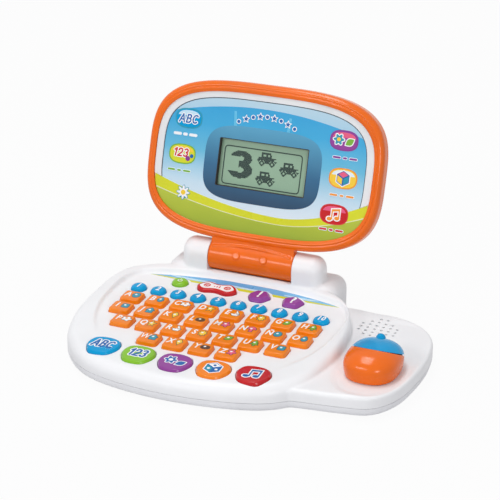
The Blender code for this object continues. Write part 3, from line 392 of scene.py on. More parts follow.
def resample(outline, count):
    """The outline as equally spaced points, from its first point on."""
    corners = [Vector(point) for point in outline + outline[:1]]
    lengths = [(end - start).length for start, end in zip(corners, corners[1:])]
    spacing = sum(lengths) / count
    spaced = []
    travelled = 0.0
    for start, end, length in zip(corners, corners[1:], lengths):
        while len(spaced) < count and len(spaced) * spacing < travelled + length:
            share = (len(spaced) * spacing - travelled) / length
            spaced.append(tuple(start.lerp(end, share)))
        travelled += length
    return spaced


def circle(radius, sides=48, centre=(0.0, 0.0), turn=0.0):
    angles = [turn + 2 * pi * index / sides for index in range(sides)]
    return [(centre[0] + radius * cos(angle), centre[1] + radius * sin(angle)) for angle in angles]


def oval(half_width, half_height, power=2.0, sides=64, centre=(0.0, 0.0)):
    """An oval squared off by its power."""
    outline = []
    for across, up in circle(1.0, sides):
        x = copysign(abs(across) ** (2 / power), across)
        y = copysign(abs(up) ** (2 / power), up)
        outline.append((centre[0] + half_width * x, centre[1] + half_height * y))
    return outline


def box_outline(width, depth, corner, arcs=6, centre=(0.0, 0.0)):
    """A rectangle with rounded corners."""
    outline = []
    for quarter_turn, (side_x, side_y) in enumerate(((1, 1), (-1, 1), (-1, -1), (1, -1))):
        for step in range(arcs + 1):
            angle = pi / 2 * (quarter_turn + step / arcs)
            x = side_x * (width / 2 - corner) + corner * cos(angle)
            y = side_y * (depth / 2 - corner) + corner * sin(angle)
            outline.append((centre[0] + x, centre[1] + y))
    return outline


def rounded_corners(outline, length, steps=4):
    """Each corner of a polygon rounded off, starting a short length along its sides."""
    rounded = []
    for index in range(len(outline)):
        before, here, after = around(outline, index, (-1, 0, 1))
        start = here + (before - here).normalized() * length
        end = here + (after - here).normalized() * length
        for step in range(steps + 1):
            t = step / steps
            rounded.append(tuple(start * (1 - t) ** 2 + here * 2 * t * (1 - t) + end * t ** 2))
    return rounded


def arc(x, y, width, height, start, end, steps=16):
    """Points on part of an ellipse, between two angles in degrees."""
    angles = [radians(start + (end - start) * step / steps) for step in range(steps + 1)]
    return [(x + width * cos(angle), y + height * sin(angle)) for angle in angles]


def moved(outline, x, y, size=1.0):
    return [(x + size * across, y + size * up) for across, up in outline]


def sized(shares, left, right, front, back):
    """An outline given as shares of its reach to the left, right, front and back."""
    return [(x * (right if x > 0 else left), y * (back if y > 0 else front)) for x, y in shares]


def mirror(right_side):
    """The left side that goes with a right side, in the order that carries the outline on."""
    return [(-x, y) for x, y in reversed(right_side)]


def quarter(steps):
    """Shares of a radius that a rounded edge lies inward and upward, from its start to its top."""
    angles = [pi / 2 * step / steps for step in range(steps + 1)]
    return [(1 - cos(angle), sin(angle)) for angle in angles]


def lid_outline(inset, extra=0.0):
    return oval(LID_HALF[0] - inset, LID_HALF[1] - inset - extra, 3.4, FINE, (0.0, LID_MIDDLE))


def level(outline, height):
    return [(x, y, height) for x, y in outline]


def plane_height(plane, y):
    return plane[0] + plane[1] * y


def on_crown(outline, drop):
    return [(x, y, plane_height(CROWN, y) - drop) for x, y in outline]


BODY = resample(smooth_loop(sized([
    (0, -1), (0.60, -0.905), (0.89, -0.70), (0.99, -0.35), (1, 0), (0.94, 0.42), (0.79, 0.80), (0.56, 0.97),
    (0, 1), (-0.60, 0.96), (-0.86, 0.78), (-0.97, 0.55), (-1, 0.15), (-0.98, -0.32), (-0.85, -0.67),
    (-0.55, -0.92),
], 104.0, 98.5, 95.52, 67.0), 16), FINE)
PAD = resample(smooth_loop(sized([
    (0.36, -0.95), (0.46, -1.10), (0.56, -1.03), (0.75, -0.97), (0.89, -0.88), (0.97, -0.61), (1, -0.20),
    (1, 0.22), (0.96, 0.63), (0.85, 0.91), (0.66, 1), (0.40, 0.80),
], 0.0, 156.0, 69.0, 64.0), 16), FINE)
RECESS_SIDE = [(0.60, -1), (0.85, -0.65), (0.97, -0.25), (1, 0.20), (0.97, 0.60), (0.84, 0.82), (0.45, 0.95)]
RECESS = resample(smooth_loop(sized(
    [(0, -1)] + RECESS_SIDE + [(0, 1)] + mirror(RECESS_SIDE), 88.9, 88.9, 66.02, 56.5), 16), FINE)
PEDESTAL = box_outline(139.0, 35.6, 11.0, 10, (0.0, 73.8))
LETTER_KEY = box_outline(16.1, 14.8, 2.6, 5)
NUMBER_KEY = circle(NUMBER_RADIUS)
LOBE = [(0.58, -1), (0.92, -0.6), (1, 0.1), (0.60, 1)]
LOBED_KEY = smooth_loop(sized(LOBE + [(0, 0.72)] + mirror(LOBE) + [(0, -0.72)], 15.5, 15.5, 7.0, 7.0), 7)
ACTIVITY_SIDE = [(0.42, -1), (0.82, -0.56), (1, 0.14), (0.72, 0.80)]
ACTIVITY_KEY = smooth_loop(
    sized(ACTIVITY_SIDE + [(0, 1)] + mirror(ACTIVITY_SIDE), 12.4, 12.4, 10.8, 10.8), 7)
FUNCTIONS = (
    ("power_button", -47.5, circle(POWER_RADIUS), "green"),
    ("melody_button", -17.0, LOBED_KEY, "red"),
    ("hint_button", 17.0, rounded_corners(circle(POLYGON_RADIUS, 6), 1.9), "purple"),
    ("help_button", 43.5, rounded_corners(circle(POLYGON_RADIUS, 5, turn=pi / 2), 2.2), "purple"),
)
DECK_HOLES = [moved(LETTER_KEY, *place) for letter, place in LETTER_PLACES]
DECK_HOLES += [moved(NUMBER_KEY, *place) for number, place in NUMBER_PLACES]
DECK_HOLES += [moved(outline, x, FUNCTION_Y) for name, x, outline, look in FUNCTIONS]
APRON_HOLES = [moved(ACTIVITY_KEY, *place) for place in ACTIVITY_PLACES]


# Meshes in millimetres


def object_of(data, name="part"):
    obj = bpy.data.objects.new(name, data)
    bpy.context.scene.collection.objects.link(obj)
    return obj


def new_object(points):
    mesh = bpy.data.meshes.new("part")
    bmesh.ops.recalc_face_normals(points, faces=points.faces)
    points.to_mesh(mesh)
    points.free()
    return object_of(mesh)


def loft(rings, ring_shaped=False):
    """A closed solid through rings of equal point counts, capped unless its last ring joins its first."""
    points = bmesh.new()
    layers = [[points.verts.new(place) for place in ring] for ring in rings]
    pairs = list(zip(layers, layers[1:]))
    if ring_shaped:
        pairs.append((layers[-1], layers[0]))
    else:
        points.faces.new(tuple(reversed(layers[0])))
        points.faces.new(tuple(layers[-1]))
    for lower, upper in pairs:
        for index in range(len(lower)):
            after = (index + 1) % len(lower)
            points.faces.new((lower[index], lower[after], upper[after], upper[index]))
    return new_object(points)


def turned(sections, sides, centre=(0.0, 0.0)):
    """A round solid on an upright axis, through a radius and a height for each of its sections."""
    return loft([level(circle(radius, sides, centre), height) for radius, height in sections])


def evaluated(obj):
    bpy.context.view_layer.update()
    graph = bpy.context.evaluated_depsgraph_get()
    return bpy.data.meshes.new_from_object(obj.evaluated_get(graph))


def bake(obj):
    """Replace an object's mesh by the result of its modifiers."""
    mesh = evaluated(obj)
    obj.modifiers.clear()
    obj.data = mesh


def mesh_of_curve(curve):
    source = object_of(curve)
    mesh = evaluated(source)
    bpy.data.objects.remove(source)
    points = bmesh.new()
    points.from_mesh(mesh)
    bmesh.ops.remove_doubles(points, verts=points.verts, dist=1e-5)
    bmesh.ops.recalc_face_normals(points, faces=points.faces)
    points.to_mesh(mesh)
    points.free()
    return mesh


def add_spline(curve, path, closed):
    spline = curve.splines.new("POLY")
    spline.points.add(len(path) - 1)
    for point, place in zip(spline.points, path):
        point.co = (*place, 1.0)
    spline.use_cyclic_u = closed


def flat_mesh(outlines, low, high):
    """Outlines, holes among them, extruded from one height to another."""
    curve = bpy.data.curves.new("flat", "CURVE")
    curve.dimensions = "2D"
    curve.fill_mode = "BOTH"
    curve.extrude = (high - low) / 2
    for outline in outlines:
        add_spline(curve, level(outline, 0.0), True)
    mesh = mesh_of_curve(curve)
    mesh.transform(raised((low + high) / 2))
    return mesh


def text_mesh(words, size, low, high, bold, lean):
    """Generic lettering, centred on the origin; a stroke that spikes is drawn a little thinner."""
    curve = bpy.data.curves.new("letters", "FONT")
    curve.body = words
    curve.size = size
    curve.align_x = "CENTER"
    curve.align_y = "CENTER"
    curve.offset = bold
    curve.shear = lean
    curve.space_character = 1.12
    curve.resolution_u = 3
    curve.extrude = (high - low) / 2
    mesh = mesh_of_curve(curve)
    if max(abs(value) for vertex in mesh.vertices for value in vertex.co) > size * len(words):
        bpy.data.meshes.remove(mesh)
        return text_mesh(words, size, low, high, 0.9 * bold, lean)
    mesh.transform(raised((low + high) / 2))
    return mesh


def tube(path, radius):
    curve = bpy.data.curves.new("tube", "CURVE")
    curve.dimensions = "3D"
    curve.bevel_depth = radius
    curve.bevel_resolution = 4
    curve.use_fill_caps = True
    add_spline(curve, path, False)
    return object_of(mesh_of_curve(curve))


def slab(outlines, low, high, matrix=Matrix()):
    mesh = flat_mesh(outlines, low, high)
    mesh.transform(matrix)
    return object_of(mesh)


def bore(radius, low, high, centre):
    return slab([circle(radius, 28, centre)], low, high)


def block(low, high):
    points = bmesh.new()
    low, high = Vector(low), Vector(high)
    place = Matrix.Translation((low + high) / 2) @ Matrix.Diagonal((*(high - low), 1.0))
    bmesh.ops.create_cube(points, size=1.0, matrix=place)
    return new_object(points)


def ball(radius, centre):
    points = bmesh.new()
    place = Matrix.Translation(centre)
    bmesh.ops.create_uvsphere(points, u_segments=32, v_segments=20, radius=radius, matrix=place)
    return new_object(points)


def combine(target, operation, *tools):
    """Boolean of an object with others, which are used up."""
    for tool in tools:
        modifier = target.modifiers.new("combine", "BOOLEAN")
        modifier.operation = operation
        modifier.solver = "MANIFOLD"
        modifier.object = tool
        bake(target)
        bpy.data.objects.remove(tool)


def join(target, *tools):
    combine(target, "UNION", *tools)


def cut(target, *tools):
    combine(target, "DIFFERENCE", *tools)


def soften(obj, voxel, rounds):
    """Run edges and joints into each other as a mould does."""
    remesh = obj.modifiers.new("even", "REMESH")
    remesh.mode = "VOXEL"
    remesh.voxel_size = voxel
    smooth = obj.modifiers.new("soft", "SMOOTH")
    smooth.factor = 0.5
    smooth.iterations = rounds
    bake(obj)


class Piece:
    """One object put together from several meshes, each with its own look."""

    def __init__(self, name, low=0.0, rim=0.0, face=0.0):
        self.name = name
        self.points = bmesh.new()
        self.looks = []
        self.low, self.rim, self.face = low, rim, face

    def add(self, mesh, look, matrix=Matrix()):
        if look not in self.looks:
            self.looks.append(look)
        mesh.transform(matrix)
        known = len(self.points.faces)
        self.points.from_mesh(mesh)
        self.points.faces.ensure_lookup_table()
        for face in self.points.faces[known:]:
            face.material_index = self.looks.index(look)
        bpy.data.meshes.remove(mesh)

    def take(self, obj, look):
        mesh = obj.data
        bpy.data.objects.remove(obj)
        self.add(mesh, look)

    def shape(self, outline, look, low, high, *openings):
        self.add(flat_mesh([outline, *openings], low, high), look)

    def mark(self, outline, look, up=0.0):
        """A printed shape at the height of the piece's prints, or a little above."""
        self.shape(outline, look, self.low, self.face + up)

    def edged(self, outline, look, margin, edge="white_ink", up=0.0):
        """A printed shape with an edge of another ink round it."""
        self.shape(grow(outline, margin), edge, self.low, self.rim + up)
        self.mark(outline, look, up)

    def text(self, words, place, low, size, bold, lean, tall):
        mesh = text_mesh(words, size, low, SIGN_HIGH, bold, lean)
        stretch = Matrix.Diagonal((1.0, tall, 1.0, 1.0))
        self.add(mesh, "white_ink", Matrix.Translation((*place, 0.0)) @ stretch)

    def settle(self, matrix, body, node, slot, angle=38):
        """Put the piece in place, on its body and for the CAD node it stands for."""
        mesh = bpy.data.meshes.new(self.name)
        self.points.to_mesh(mesh)
        self.points.free()
        mesh.transform(matrix)
        for look in self.looks:
            mesh.materials.append(LOOKS[look])
        obj = object_of(mesh, self.name)
        mesh.shade_smooth()
        mesh.set_sharp_from_angle(angle=radians(angle))
        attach(obj, body)
        if node:
            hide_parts(node)


def settle(name, solids, look, matrix, body, node=None, slot=None, angle=38):
    """Put finished solids of one look in place as one piece."""
    piece = Piece(name)
    for solid in solids:
        piece.take(solid, look)
    piece.settle(matrix, body, node, slot or look, angle)


# Small generic motifs, about two units across


def star(points, outer=1.0, inner=0.45):
    corners = circle(1.0, 2 * points, turn=pi / 2)
    radii = [inner if index % 2 else outer for index in range(2 * points)]
    return [(radius * x, radius * y) for radius, (x, y) in zip(radii, corners)]


def petals(count, depth, sides=48):
    outline = []
    for x, y in circle(1.0, sides):
        radius = 1 - depth + depth * cos(count * atan2(y, x))
        outline.append((radius * x, radius * y))
    return outline


def leaf():
    upper = [(-1 + 2 * t / 12, 0.62 * sin(pi * t / 12)) for t in range(12, 0, -1)]
    lower = [(-1 + 2 * t / 12, -0.62 * sin(pi * t / 12)) for t in range(12)]
    return [(0.8 * x - 0.6 * y, 0.6 * x + 0.8 * y) for x, y in lower + upper]


def mushroom():
    return [(0.35, -0.9), (0.3, 0.0)] + arc(0, 0, 1.0, 0.9, 0, 180, 10) + [(-0.3, 0.0), (-0.35, -0.9)]


def note(x, y, size):
    """A pair of joined quavers as separate outlines."""
    head = [(0.42 * across, 0.30 * up) for across, up in circle(1.0, 20)]
    heads = [moved(head, *place) for place in ((-0.72, -0.78), (0.55, -0.58))]
    stems = [(-0.42, -0.8), (-0.22, -0.8), (-0.22, 0.45), (0.75, 0.62), (0.75, -0.6), (0.95, -0.6),
             (0.95, 1.0), (-0.42, 0.78)]
    return [moved(outline, x, y, size) for outline in heads + [stems]]


def cube_faces(x, y, size):
    """The three faces of a block seen from its corner."""
    top = [(0, 1.0), (-0.87, 0.5), (0, 0.0), (0.87, 0.5)]
    left = [(-0.87, 0.5), (-0.87, -0.5), (0, -1.0), (0, 0.0)]
    right = [(0.87, 0.5), (0, 0.0), (0, -1.0), (0.87, -0.5)]
    return [moved(outline, x, y, size) for outline in (top, left, right)]


def print_flower(piece, place, size, leaf_place, leaf_size, eye, looks):
    """A flower with an eye, and a leaf beside it."""
    margin = 0.7
    piece.edged(moved(petals(6, 0.2), *place, size), looks[0], margin)
    piece.edged(moved(leaf(), *leaf_place, leaf_size), looks[1], margin)
    piece.mark(circle(eye, 20, place), looks[2], 0.04)


def print_note(piece, place, size, look, margin):
    for step, outline in enumerate(note(*place, size)):
        piece.edged(outline, look, margin, up=0.004 * step)


def print_cube(piece, place, size, margin, inset, looks):
    piece.edged(circle(size, 6, place, pi / 2), "blue_ink", margin)
    for outline, look in zip(cube_faces(*place, size), looks):
        piece.mark(grow(outline, -inset), look, 0.04)


def stroke(path, width):
    """The outline of a line of even width with round ends."""
    points = [Vector(place) for place in path]
    near, far = [], []
    for index, here in enumerate(points):
        along = (points[min(index + 1, len(points) - 1)] - points[max(index - 1, 0)]).normalized()
        side = Vector((along.y, -along.x)) * (width / 2)
        near.append(here + side)
        far.append(here - side)
    last = atan2(*(near[-1] - points[-1]).yx)
    first = atan2(*(far[0] - points[0]).yx)
    end_cap = circle(width / 2, 16, points[-1], last)[1:8]
    start_cap = circle(width / 2, 16, points[0], first)[1:8]
    return [tuple(place) for place in near] + end_cap + [tuple(place) for place in far[::-1]] + start_cap


STROKES = {
    "A": (0.84, ([(0.0, 0.0), (0.42, 1.0)], [(0.42, 1.0), (0.84, 0.0)], [(0.18, 0.32), (0.66, 0.32)])),
    "B": (0.70, ([(0.06, 0.0), (0.06, 1.0)],
                 [(0.06, 1.0)] + arc(0.38, 0.77, 0.25, 0.23, 90, -90) + [(0.06, 0.54)],
                 [(0.06, 0.54)] + arc(0.40, 0.27, 0.30, 0.27, 90, -90) + [(0.06, 0.0)])),
    "C": (0.78, (arc(0.44, 0.5, 0.42, 0.5, 50, 310),)),
    "1": (0.40, ([(0.02, 0.76), (0.34, 1.0)], [(0.34, 1.0), (0.34, 0.0)])),
    "2": (0.72, (arc(0.36, 0.69, 0.33, 0.31, 165, -38) + [(0.02, 0.0)], [(0.02, 0.0), (0.72, 0.0)])),
    "3": (0.68, (arc(0.32, 0.75, 0.30, 0.25, 150, -80), arc(0.32, 0.26, 0.35, 0.26, 80, -150))),
}


def lettering(piece, words, place, size, look, weights):
    """Rounded slanted letters of a given width and height, drawn stroke by stroke on a white edge."""
    space, slant = 0.34, 0.22
    width = sum(STROKES[letter][0] + space for letter in words) - space
    for weight, tint, high in zip(weights, ("white_ink", look), (piece.rim, piece.face)):
        start = -width / 2
        for letter in words:
            advance, paths = STROKES[letter]
            for path in paths:
                line = [
                    (place[0] + size[0] * (start + x + slant * (y - 0.5)), place[1] + size[1] * (y - 0.5))
                    for x, y in path
                ]
                piece.shape(stroke(line, weight), tint, piece.low, high)
                high += 0.003
            start += advance + space


DROP = [(0.72 * x * (1 - 0.45 * max(y, 0.0)), 0.85 * y + 0.15 * max(y, 0.0)) for x, y in circle(1.0, 24)]
HOUSE = [(-0.75, -0.85), (0.75, -0.85), (0.75, 0.1), (1.0, 0.1), (0.0, 1.0), (-1.0, 0.1), (-0.75, 0.1)]
BOAT = [(-1.0, -0.2), (-0.6, -0.85), (0.6, -0.85), (1.0, -0.2), (0.1, -0.2), (0.1, 0.0), (0.8, 0.0),
        (0.0, 1.0), (-0.1, 1.0), (-0.1, -0.2)]
CLOUD = [(1.25 * x, 0.8 * y) for x, y in petals(5, 0.16)]
TREE = [(-0.2, -1.0), (0.2, -1.0), (0.2, -0.5), (0.9, -0.5), (0.4, 0.1), (0.7, 0.1), (0.0, 1.0), (-0.7, 0.1),
        (-0.4, 0.1), (-0.9, -0.5), (-0.2, -0.5)]
KITE = [(0.0, -1.0), (0.7, 0.2), (0.0, 1.0), (-0.7, 0.2)]
MOTIFS = (
    (circle(0.9, 24), "teal_ink"), (star(5), "yellow_ink"), (leaf(), "green_ink"), (HOUSE, "teal_ink"),
    (petals(5, 0.22), "pink_ink"), (DROP, "teal_ink"), (BOAT, "white_ink"), (TREE, "green_ink"),
    (KITE, "yellow_ink"), (mushroom(), "pink_ink"), (CLOUD, "white_ink"), (star(8, 1.0, 0.62), "yellow_ink"),
    (box_outline(1.6, 1.4, 0.3, 3), "teal_ink"), (oval(1.0, 0.62, 2.4, 24), "brown_ink"),
)


# Base shells


def crest(y):
    """How far the edge above the sunk deck is raised: not where the shut lid or the apron needs the room."""
    before_lid = min(max((45.0 - y) / 20.0, 0.0), 1.0)
    behind_apron = min(max((y + 58.0) / 30.0, 0.0), 1.0)
    return CREST * before_lid * behind_apron


def keyboard_block(bottom):
    """Outer wall, rounded crown and the soft slope down to the sunk deck."""
    rim = []
    for outer, inner in zip(BODY, RECESS):
        outer, inner = Vector(outer), Vector(inner)
        rim.append((outer, inner, (inner - outer).normalized(), (inner - outer).length / 2))
    rings = [level(BODY, bottom)]
    for inset, rise in quarter(8):
        ring = [outer + inward * min(CROWN_RADIUS, half) * inset for outer, inner, inward, half in rim]
        rings.append(on_crown(ring, CROWN_RADIUS * (1 - rise)))
    for step in range(9):
        share = step / 8
        ring = [inner - inward * min(SLOPE_WIDTH, half) * (1 - share) for outer, inner, inward, half in rim]
        fall = share ** 2 * (3 - 2 * share)
        rings.append([
            (x, y, (plane_height(CROWN, y) + crest(y)) * (1 - fall) + plane_height(DECK_PLANE, y) * fall)
            for x, y in ring
        ])
    return loft(rings)


def rounded_block(outline, bottom, top, radius):
    """A block with its upper edge rounded."""
    rings = [level(outline, bottom)]
    rings += [level(grow(outline, -radius * inset), top - radius * (1 - rise)) for inset, rise in quarter(8)]
    return loft(rings)


def hinge_circle(radius, sides):
    return circle(radius, sides, (HINGE_Y, HINGE_Z))


def ear(side):
    """A pillow-shaped hinge ear."""
    profile = hinge_circle(BARREL_RADIUS, 48)[:25]
    profile += [(HINGE_Y - BARREL_RADIUS, EAR_FOOT), (HINGE_Y + BARREL_RADIUS, EAR_FOOT)]
    inner, outer = BARREL_HALF - 4.0, BARREL_HALF + GAP + EAR_WIDTH
    rings = [[(side * inner, y, z) for y, z in profile]]
    for inset, rise in quarter(8):
        x = outer - EAR_RADIUS * (1 - rise)
        rings.append([(side * x, y, max(z, EAR_FOOT)) for y, z in grow(profile, -EAR_RADIUS * inset)])
    return loft(rings)


def along_x(profile, half):
    """A profile in the YZ plane, extruded to both sides of the middle."""
    return loft([[(x, y, z) for y, z in profile] for x in (-half, half)])


def trough():
    """Room for the barrel, and for the neck in front of it when the lid is shut."""
    radius = BARREL_RADIUS + TROUGH_GAP
    lip = PANEL_FACE + TROUGH_GAP
    start = 180 + degrees(asin(lip / radius))
    profile = arc(0, 0, radius, radius, start, 360, 40)
    profile += [(radius, radius), (-2 * radius, radius), (-2 * radius, -lip)]
    return along_x(moved(profile, HINGE_Y, HINGE_Z), BARREL_HALF + GAP)


def holes(outlines, margin, high, plane):
    return slab([grow(outline, margin) for outline in outlines], -10, high, plane_frame(*plane))


def pad_cut(outlines):
    return slab(outlines, PAD_FLOOR - 4, PAD_TOP + 2)


def speaker_holes():
    left, front = SPEAKER_CORNER
    centres = []
    for column, (first, last) in enumerate(SPEAKER_COLUMNS):
        x = left + column * SPEAKER_PITCH
        centres += [(x, front + row * SPEAKER_PITCH) for row in range(first, last + 1)]
    return pad_cut([circle(SPEAKER_HOLE, 16, centre) for centre in centres])


def keyboard_inside(bottom):
    """The space between the keyboard's walls, up to the underside of the deck."""
    inner = grow(BODY, -WALL)
    upper = grow(inner, -CROWN_RADIUS / 2)
    inside = loft([level(inner, bottom), on_crown(inner, CROWN_RADIUS), on_crown(upper, WALL)])
    roof = block((-FAR, -FAR, 0), (FAR, FAR, 50))
    roof.data.transform(plane_frame(DECK_PLANE[0] - WALL, DECK_PLANE[1]))
    cut(inside, roof)
    return inside


def top_shell():
    """Keyboard, side pad and pedestal run into one moulding, then hollowed and pierced."""
    bottom = PARTING + GAP / 2
    pad = rounded_block(PAD, bottom - 5, PAD_TOP, PAD_RADIUS)
    dish = oval(*DISH_HALF, 2.8, 96, (MOUSE_CENTRE[0], DISH_Y))
    cut(pad, loft([level(dish, PAD_FLOOR), level(grow(dish, 8.0), PAD_FLOOR + 1.5)]))
    shell = keyboard_block(bottom - 4)
    pedestal = rounded_block(PEDESTAL, bottom - 6, PEDESTAL_TOP, PEDESTAL_RADIUS)
    join(shell, pad, pedestal, ear(1), ear(-1))
    soften(shell, voxel=0.8, rounds=7)
    cut(shell, block((-FAR, -FAR, -50), (FAR, FAR, bottom)))
    start = PARTING - WALL
    ceiling = HINGE_Z - BARREL_RADIUS - TROUGH_GAP - WALL
    cut(shell, keyboard_inside(start), slab([grow(PAD, -WALL)], start, PAD_FLOOR - WALL),
        slab([grow(PEDESTAL, -WALL)], start, ceiling))
    cut(shell, trough(), along_x(hinge_circle(PIN_BORE, 24), BARREL_HALF + PIN_REACH))
    cut(shell, holes(DECK_HOLES, KEY_MARGIN, 10, DECK_PLANE), holes(APRON_HOLES, KEY_MARGIN, 10, CROWN))
    cut(shell, holes(APRON_HOLES, FLANGE_ROOM, -WALL - GAP / 2, CROWN), speaker_holes())
    cut(shell, pad_cut([box_outline(MOUSE_WINDOW, MOUSE_WINDOW, 5.0, 6, MOUSE_CENTRE)]))
    settle("base_top", [shell], "white_shell", ROOT, "base", "base_top_shell")


def disc(radius, low, high, centre, edge=0.4):
    """A round pad with a soft lower edge."""
    return turned(((radius - edge, low), (radius, low + edge), (radius, high)), 32, centre)


def screw(radius, low, high, centre):
    """A domed screw head, seen from below, with a cross recess."""
    sections = ((0.45, low), (0.8, low + 0.12), (0.97, low + 0.4), (1.0, low + 0.7), (1.0, high))
    head = turned([(radius * share, height) for share, height in sections], 28, centre)
    x, y = centre
    long, narrow = radius * 0.62, radius * 0.15
    for across, along in ((long, narrow), (narrow, long)):
        cut(head, block((x - across, y - along, low - 1), (x + across, y + along, low + 0.7)))
    return head


def tray(outline, step):
    """One of the upturned blocks of the lower housing, whose faces lie apart so that they join cleanly."""
    height = 14.0
    solid = rounded_block(outline, 0.0, height + step, 5.0)
    upturned = Matrix.Scale(-1, 4, (0, 0, 1))
    solid.data.transform(raised(UNDERSIDE + height + step * 1.3) @ upturned)
    solid.data.flip_normals()
    return solid


def battery_box(margin, corner):
    return box_outline(BATTERY_BOX[0] + margin, BATTERY_BOX[1] + margin, corner)


def bottom_shell():
    """The lower housing with its feet, screw bosses, speaker post and battery box."""
    top = PARTING - GAP / 2
    outlines = (BODY, PAD, PEDESTAL)
    shell, *others = [tray(outline, step) for step, outline in enumerate(outlines)]
    join(shell, *others)
    soften(shell, voxel=1.0, rounds=6)
    cut(shell, block((-FAR, -FAR, top), (FAR, FAR, 80)))
    for step, outline in enumerate(outlines):
        cut(shell, slab([grow(outline, -WALL)], TRAY_FLOOR + 0.2 * step, top + 4 + step))
    for place in FEET:
        join(shell, disc(FOOT_RADIUS, 0.7, TRAY_FLOOR - 0.5, place))
    root = TRAY_FLOOR - 1.0
    for x, y in BOSSES:
        join(shell, disc(BOSS_RADIUS, root, 10.0 + DECK_PLANE[1] * y, (x, y)))
    for place in BOSSES:
        cut(shell, bore(2.9, -5, 4.4, place))
    join(shell, disc(SPEAKER_POST, root, 6.9, SPEAKER_CENTRE))
    join(shell, slab([battery_box(2 * WALL, 5.0)], root, 13.0))
    cut(shell, slab([battery_box(0.0, 3.0)], -5, TRAY_FLOOR + GAP))
    cut(shell, slab([battery_box(-2 * WALL, 3.0)], -5, 11.0))
    settle("base_bottom", [shell], "grey_shell", ROOT, "base", "base_bottom_shell")


def foot_pads():
    pads = [disc(FOOT_RADIUS - 0.7, 0.0, 0.75, place, 0.3) for place in FEET]
    settle("foot_pads", pads, "rubber", ROOT, "base")


def case_screws():
    screws = [screw(SCREW_RADIUS, 3.0, 4.35, place) for place in BOSSES]
    settle("case_screws", screws, "steel", ROOT, "base")


def battery_cover():
    """The cover with its thumb grooves and the screw in its well."""
    outline = battery_box(-2 * GAP, 2.7)
    sections = ((0.5, UNDERSIDE), (0.1, 1.62), (0.0, 2.0), (0.0, TRAY_FLOOR))
    cover = loft([level(grow(outline, -inset), height) for inset, height in sections])
    for step in range(5):
        cut(cover, slab([box_outline(16.0, 1.0, 0.45, 3, (0.0, -15.5 + 2.0 * step))], 0.0, 2.0))
    well = (0.0, 14.5)
    cut(cover, bore(3.1, 0.0, 2.7, well))
    piece = Piece("battery_door")
    piece.take(cover, "grey_shell")
    piece.take(screw(2.4, 1.75, 2.75, well), "steel")
    piece.settle(ROOT, "base", "battery_cover", "grey_shell")


def deck_print():
    """The curved band behind the function buttons, and the white rings round the buttons."""
    piece = Piece("deck_print")
    low = -0.4
    middle, half, foot = 1.8, 77.6, 44.6
    shares = [index / 24 - 1 for index in range(49)]
    lower, stripe, upper = (
        [(middle + half * share, foot + rise * (1 - share ** 2) ** power) for share in shares]
        for rise, power in ((-1.8, 1), (1.7, 0.6), (10.9, 1))
    )
    piece.shape(lower + upper[::-1][1:-1], "band", low, 0.06)
    piece.shape(lower + stripe[::-1][1:-1], "lime_ink", low, 0.10)
    for centre, reach, rise in ((-42.0, 20.0, 1.3), (4.0, 17.0, 1.5), (46.0, 14.0, 1.0)):
        cap = [(centre + reach * x, 47.6 + 1.2 * y + rise * x * x) for x, y in circle(1.0, 32)]
        piece.shape(cap, "pale_blue_ink", low, 0.08)
    for name, x, outline, look in FUNCTIONS:
        ring = moved(outline, x, FUNCTION_Y)
        piece.shape(grow(ring, 2.1), "white_ink", low, 0.14, grow(ring, 0.4))
    piece.settle(DECK, "base", None, "white_shell")


# Keys, with insets and heights of their sides and tops


def edge_levels(top, radius):
    """A rounded upper edge and a faintly crowned top."""
    levels = [(radius * inset, top - 0.08 - radius * (1 - rise)) for inset, rise in quarter(6)]
    return levels + [(radius + 1.5, top)]


def cap_levels(top, draft, radius):
    """A cap with leaning sides and a crisp rounded upper edge."""
    levels = [(0.0, 0.1), (0.1 * draft, 0.4)]
    levels += [(draft + radius * inset, top - 0.05 - radius * (1 - rise)) for inset, rise in quarter(5)]
    return levels + [(draft + radius + 1.2, top)]


def dome_levels(top, radius):
    """A low dome with a small flat on top."""
    foot = 0.5
    return [(0.44 * radius * inset, foot + (top - foot) * rise) for inset, rise in quarter(8)]


FACET_LEVELS = [(0.0, 0.7), (0.15, 1.0), (1.75, 2.75), (2.05, 2.92), (2.5, KEY_TOP)]


def key_solid(outline, levels):
    """A key with the flange that holds it under the shell."""
    flange = grow(outline, FLANGE)
    seat = -WALL - GAP
    rings = [level(flange, seat - 1.0), level(flange, seat), level(outline, seat)]
    return loft(rings + [level(grow(outline, -inset), height) for inset, height in levels])


def place_key(piece, plane, place, name, slot, angle=38):
    piece.settle(plane @ Matrix.Translation((*place, 0)), name, name, slot, angle)


def letter_keys():
    for index, (letter, place) in enumerate(LETTER_PLACES):
        name = "key_" + letter
        piece = Piece(name + "_cap", SIGN_LOW, 3.04, 3.07)
        piece.take(key_solid(LETTER_KEY, cap_levels(KEY_TOP, draft=0.45, radius=0.9)), "key_orange")
        sign = "Ñ" if letter == "enye" else letter.upper()
        bold = 0.06 if sign in "MW" else 0.17
        piece.text(sign, (-3.6, 0.9), SIGN_LOW, size=6.6, bold=bold, lean=0.12, tall=1.35)
        motif, look = MOTIFS[(index * 5) % len(MOTIFS)]
        piece.edged([(2.8 + 3.2 * x, 1.0 + 4.0 * y) for x, y in motif], look, 0.42, "dark_ink")
        dot = moved(circle(0.30, 14), 2.3, 1.8, 3.2)
        piece.mark(dot, "white_ink" if look != "white_ink" else "orange_ink", 0.02)
        place_key(piece, DECK, place, name, "key_orange")


def number_keys():
    for number, place in NUMBER_PLACES:
        name = f"key_{number}"
        piece = Piece(name + "_cap")
        piece.take(key_solid(NUMBER_KEY, dome_levels(KEY_TOP, NUMBER_RADIUS)), "blue")
        piece.text(str(number), (0, 0), 2.7, size=5.6, bold=0.2, lean=0.12, tall=1.45)
        place_key(piece, DECK, place, name, "blue", angle=30)


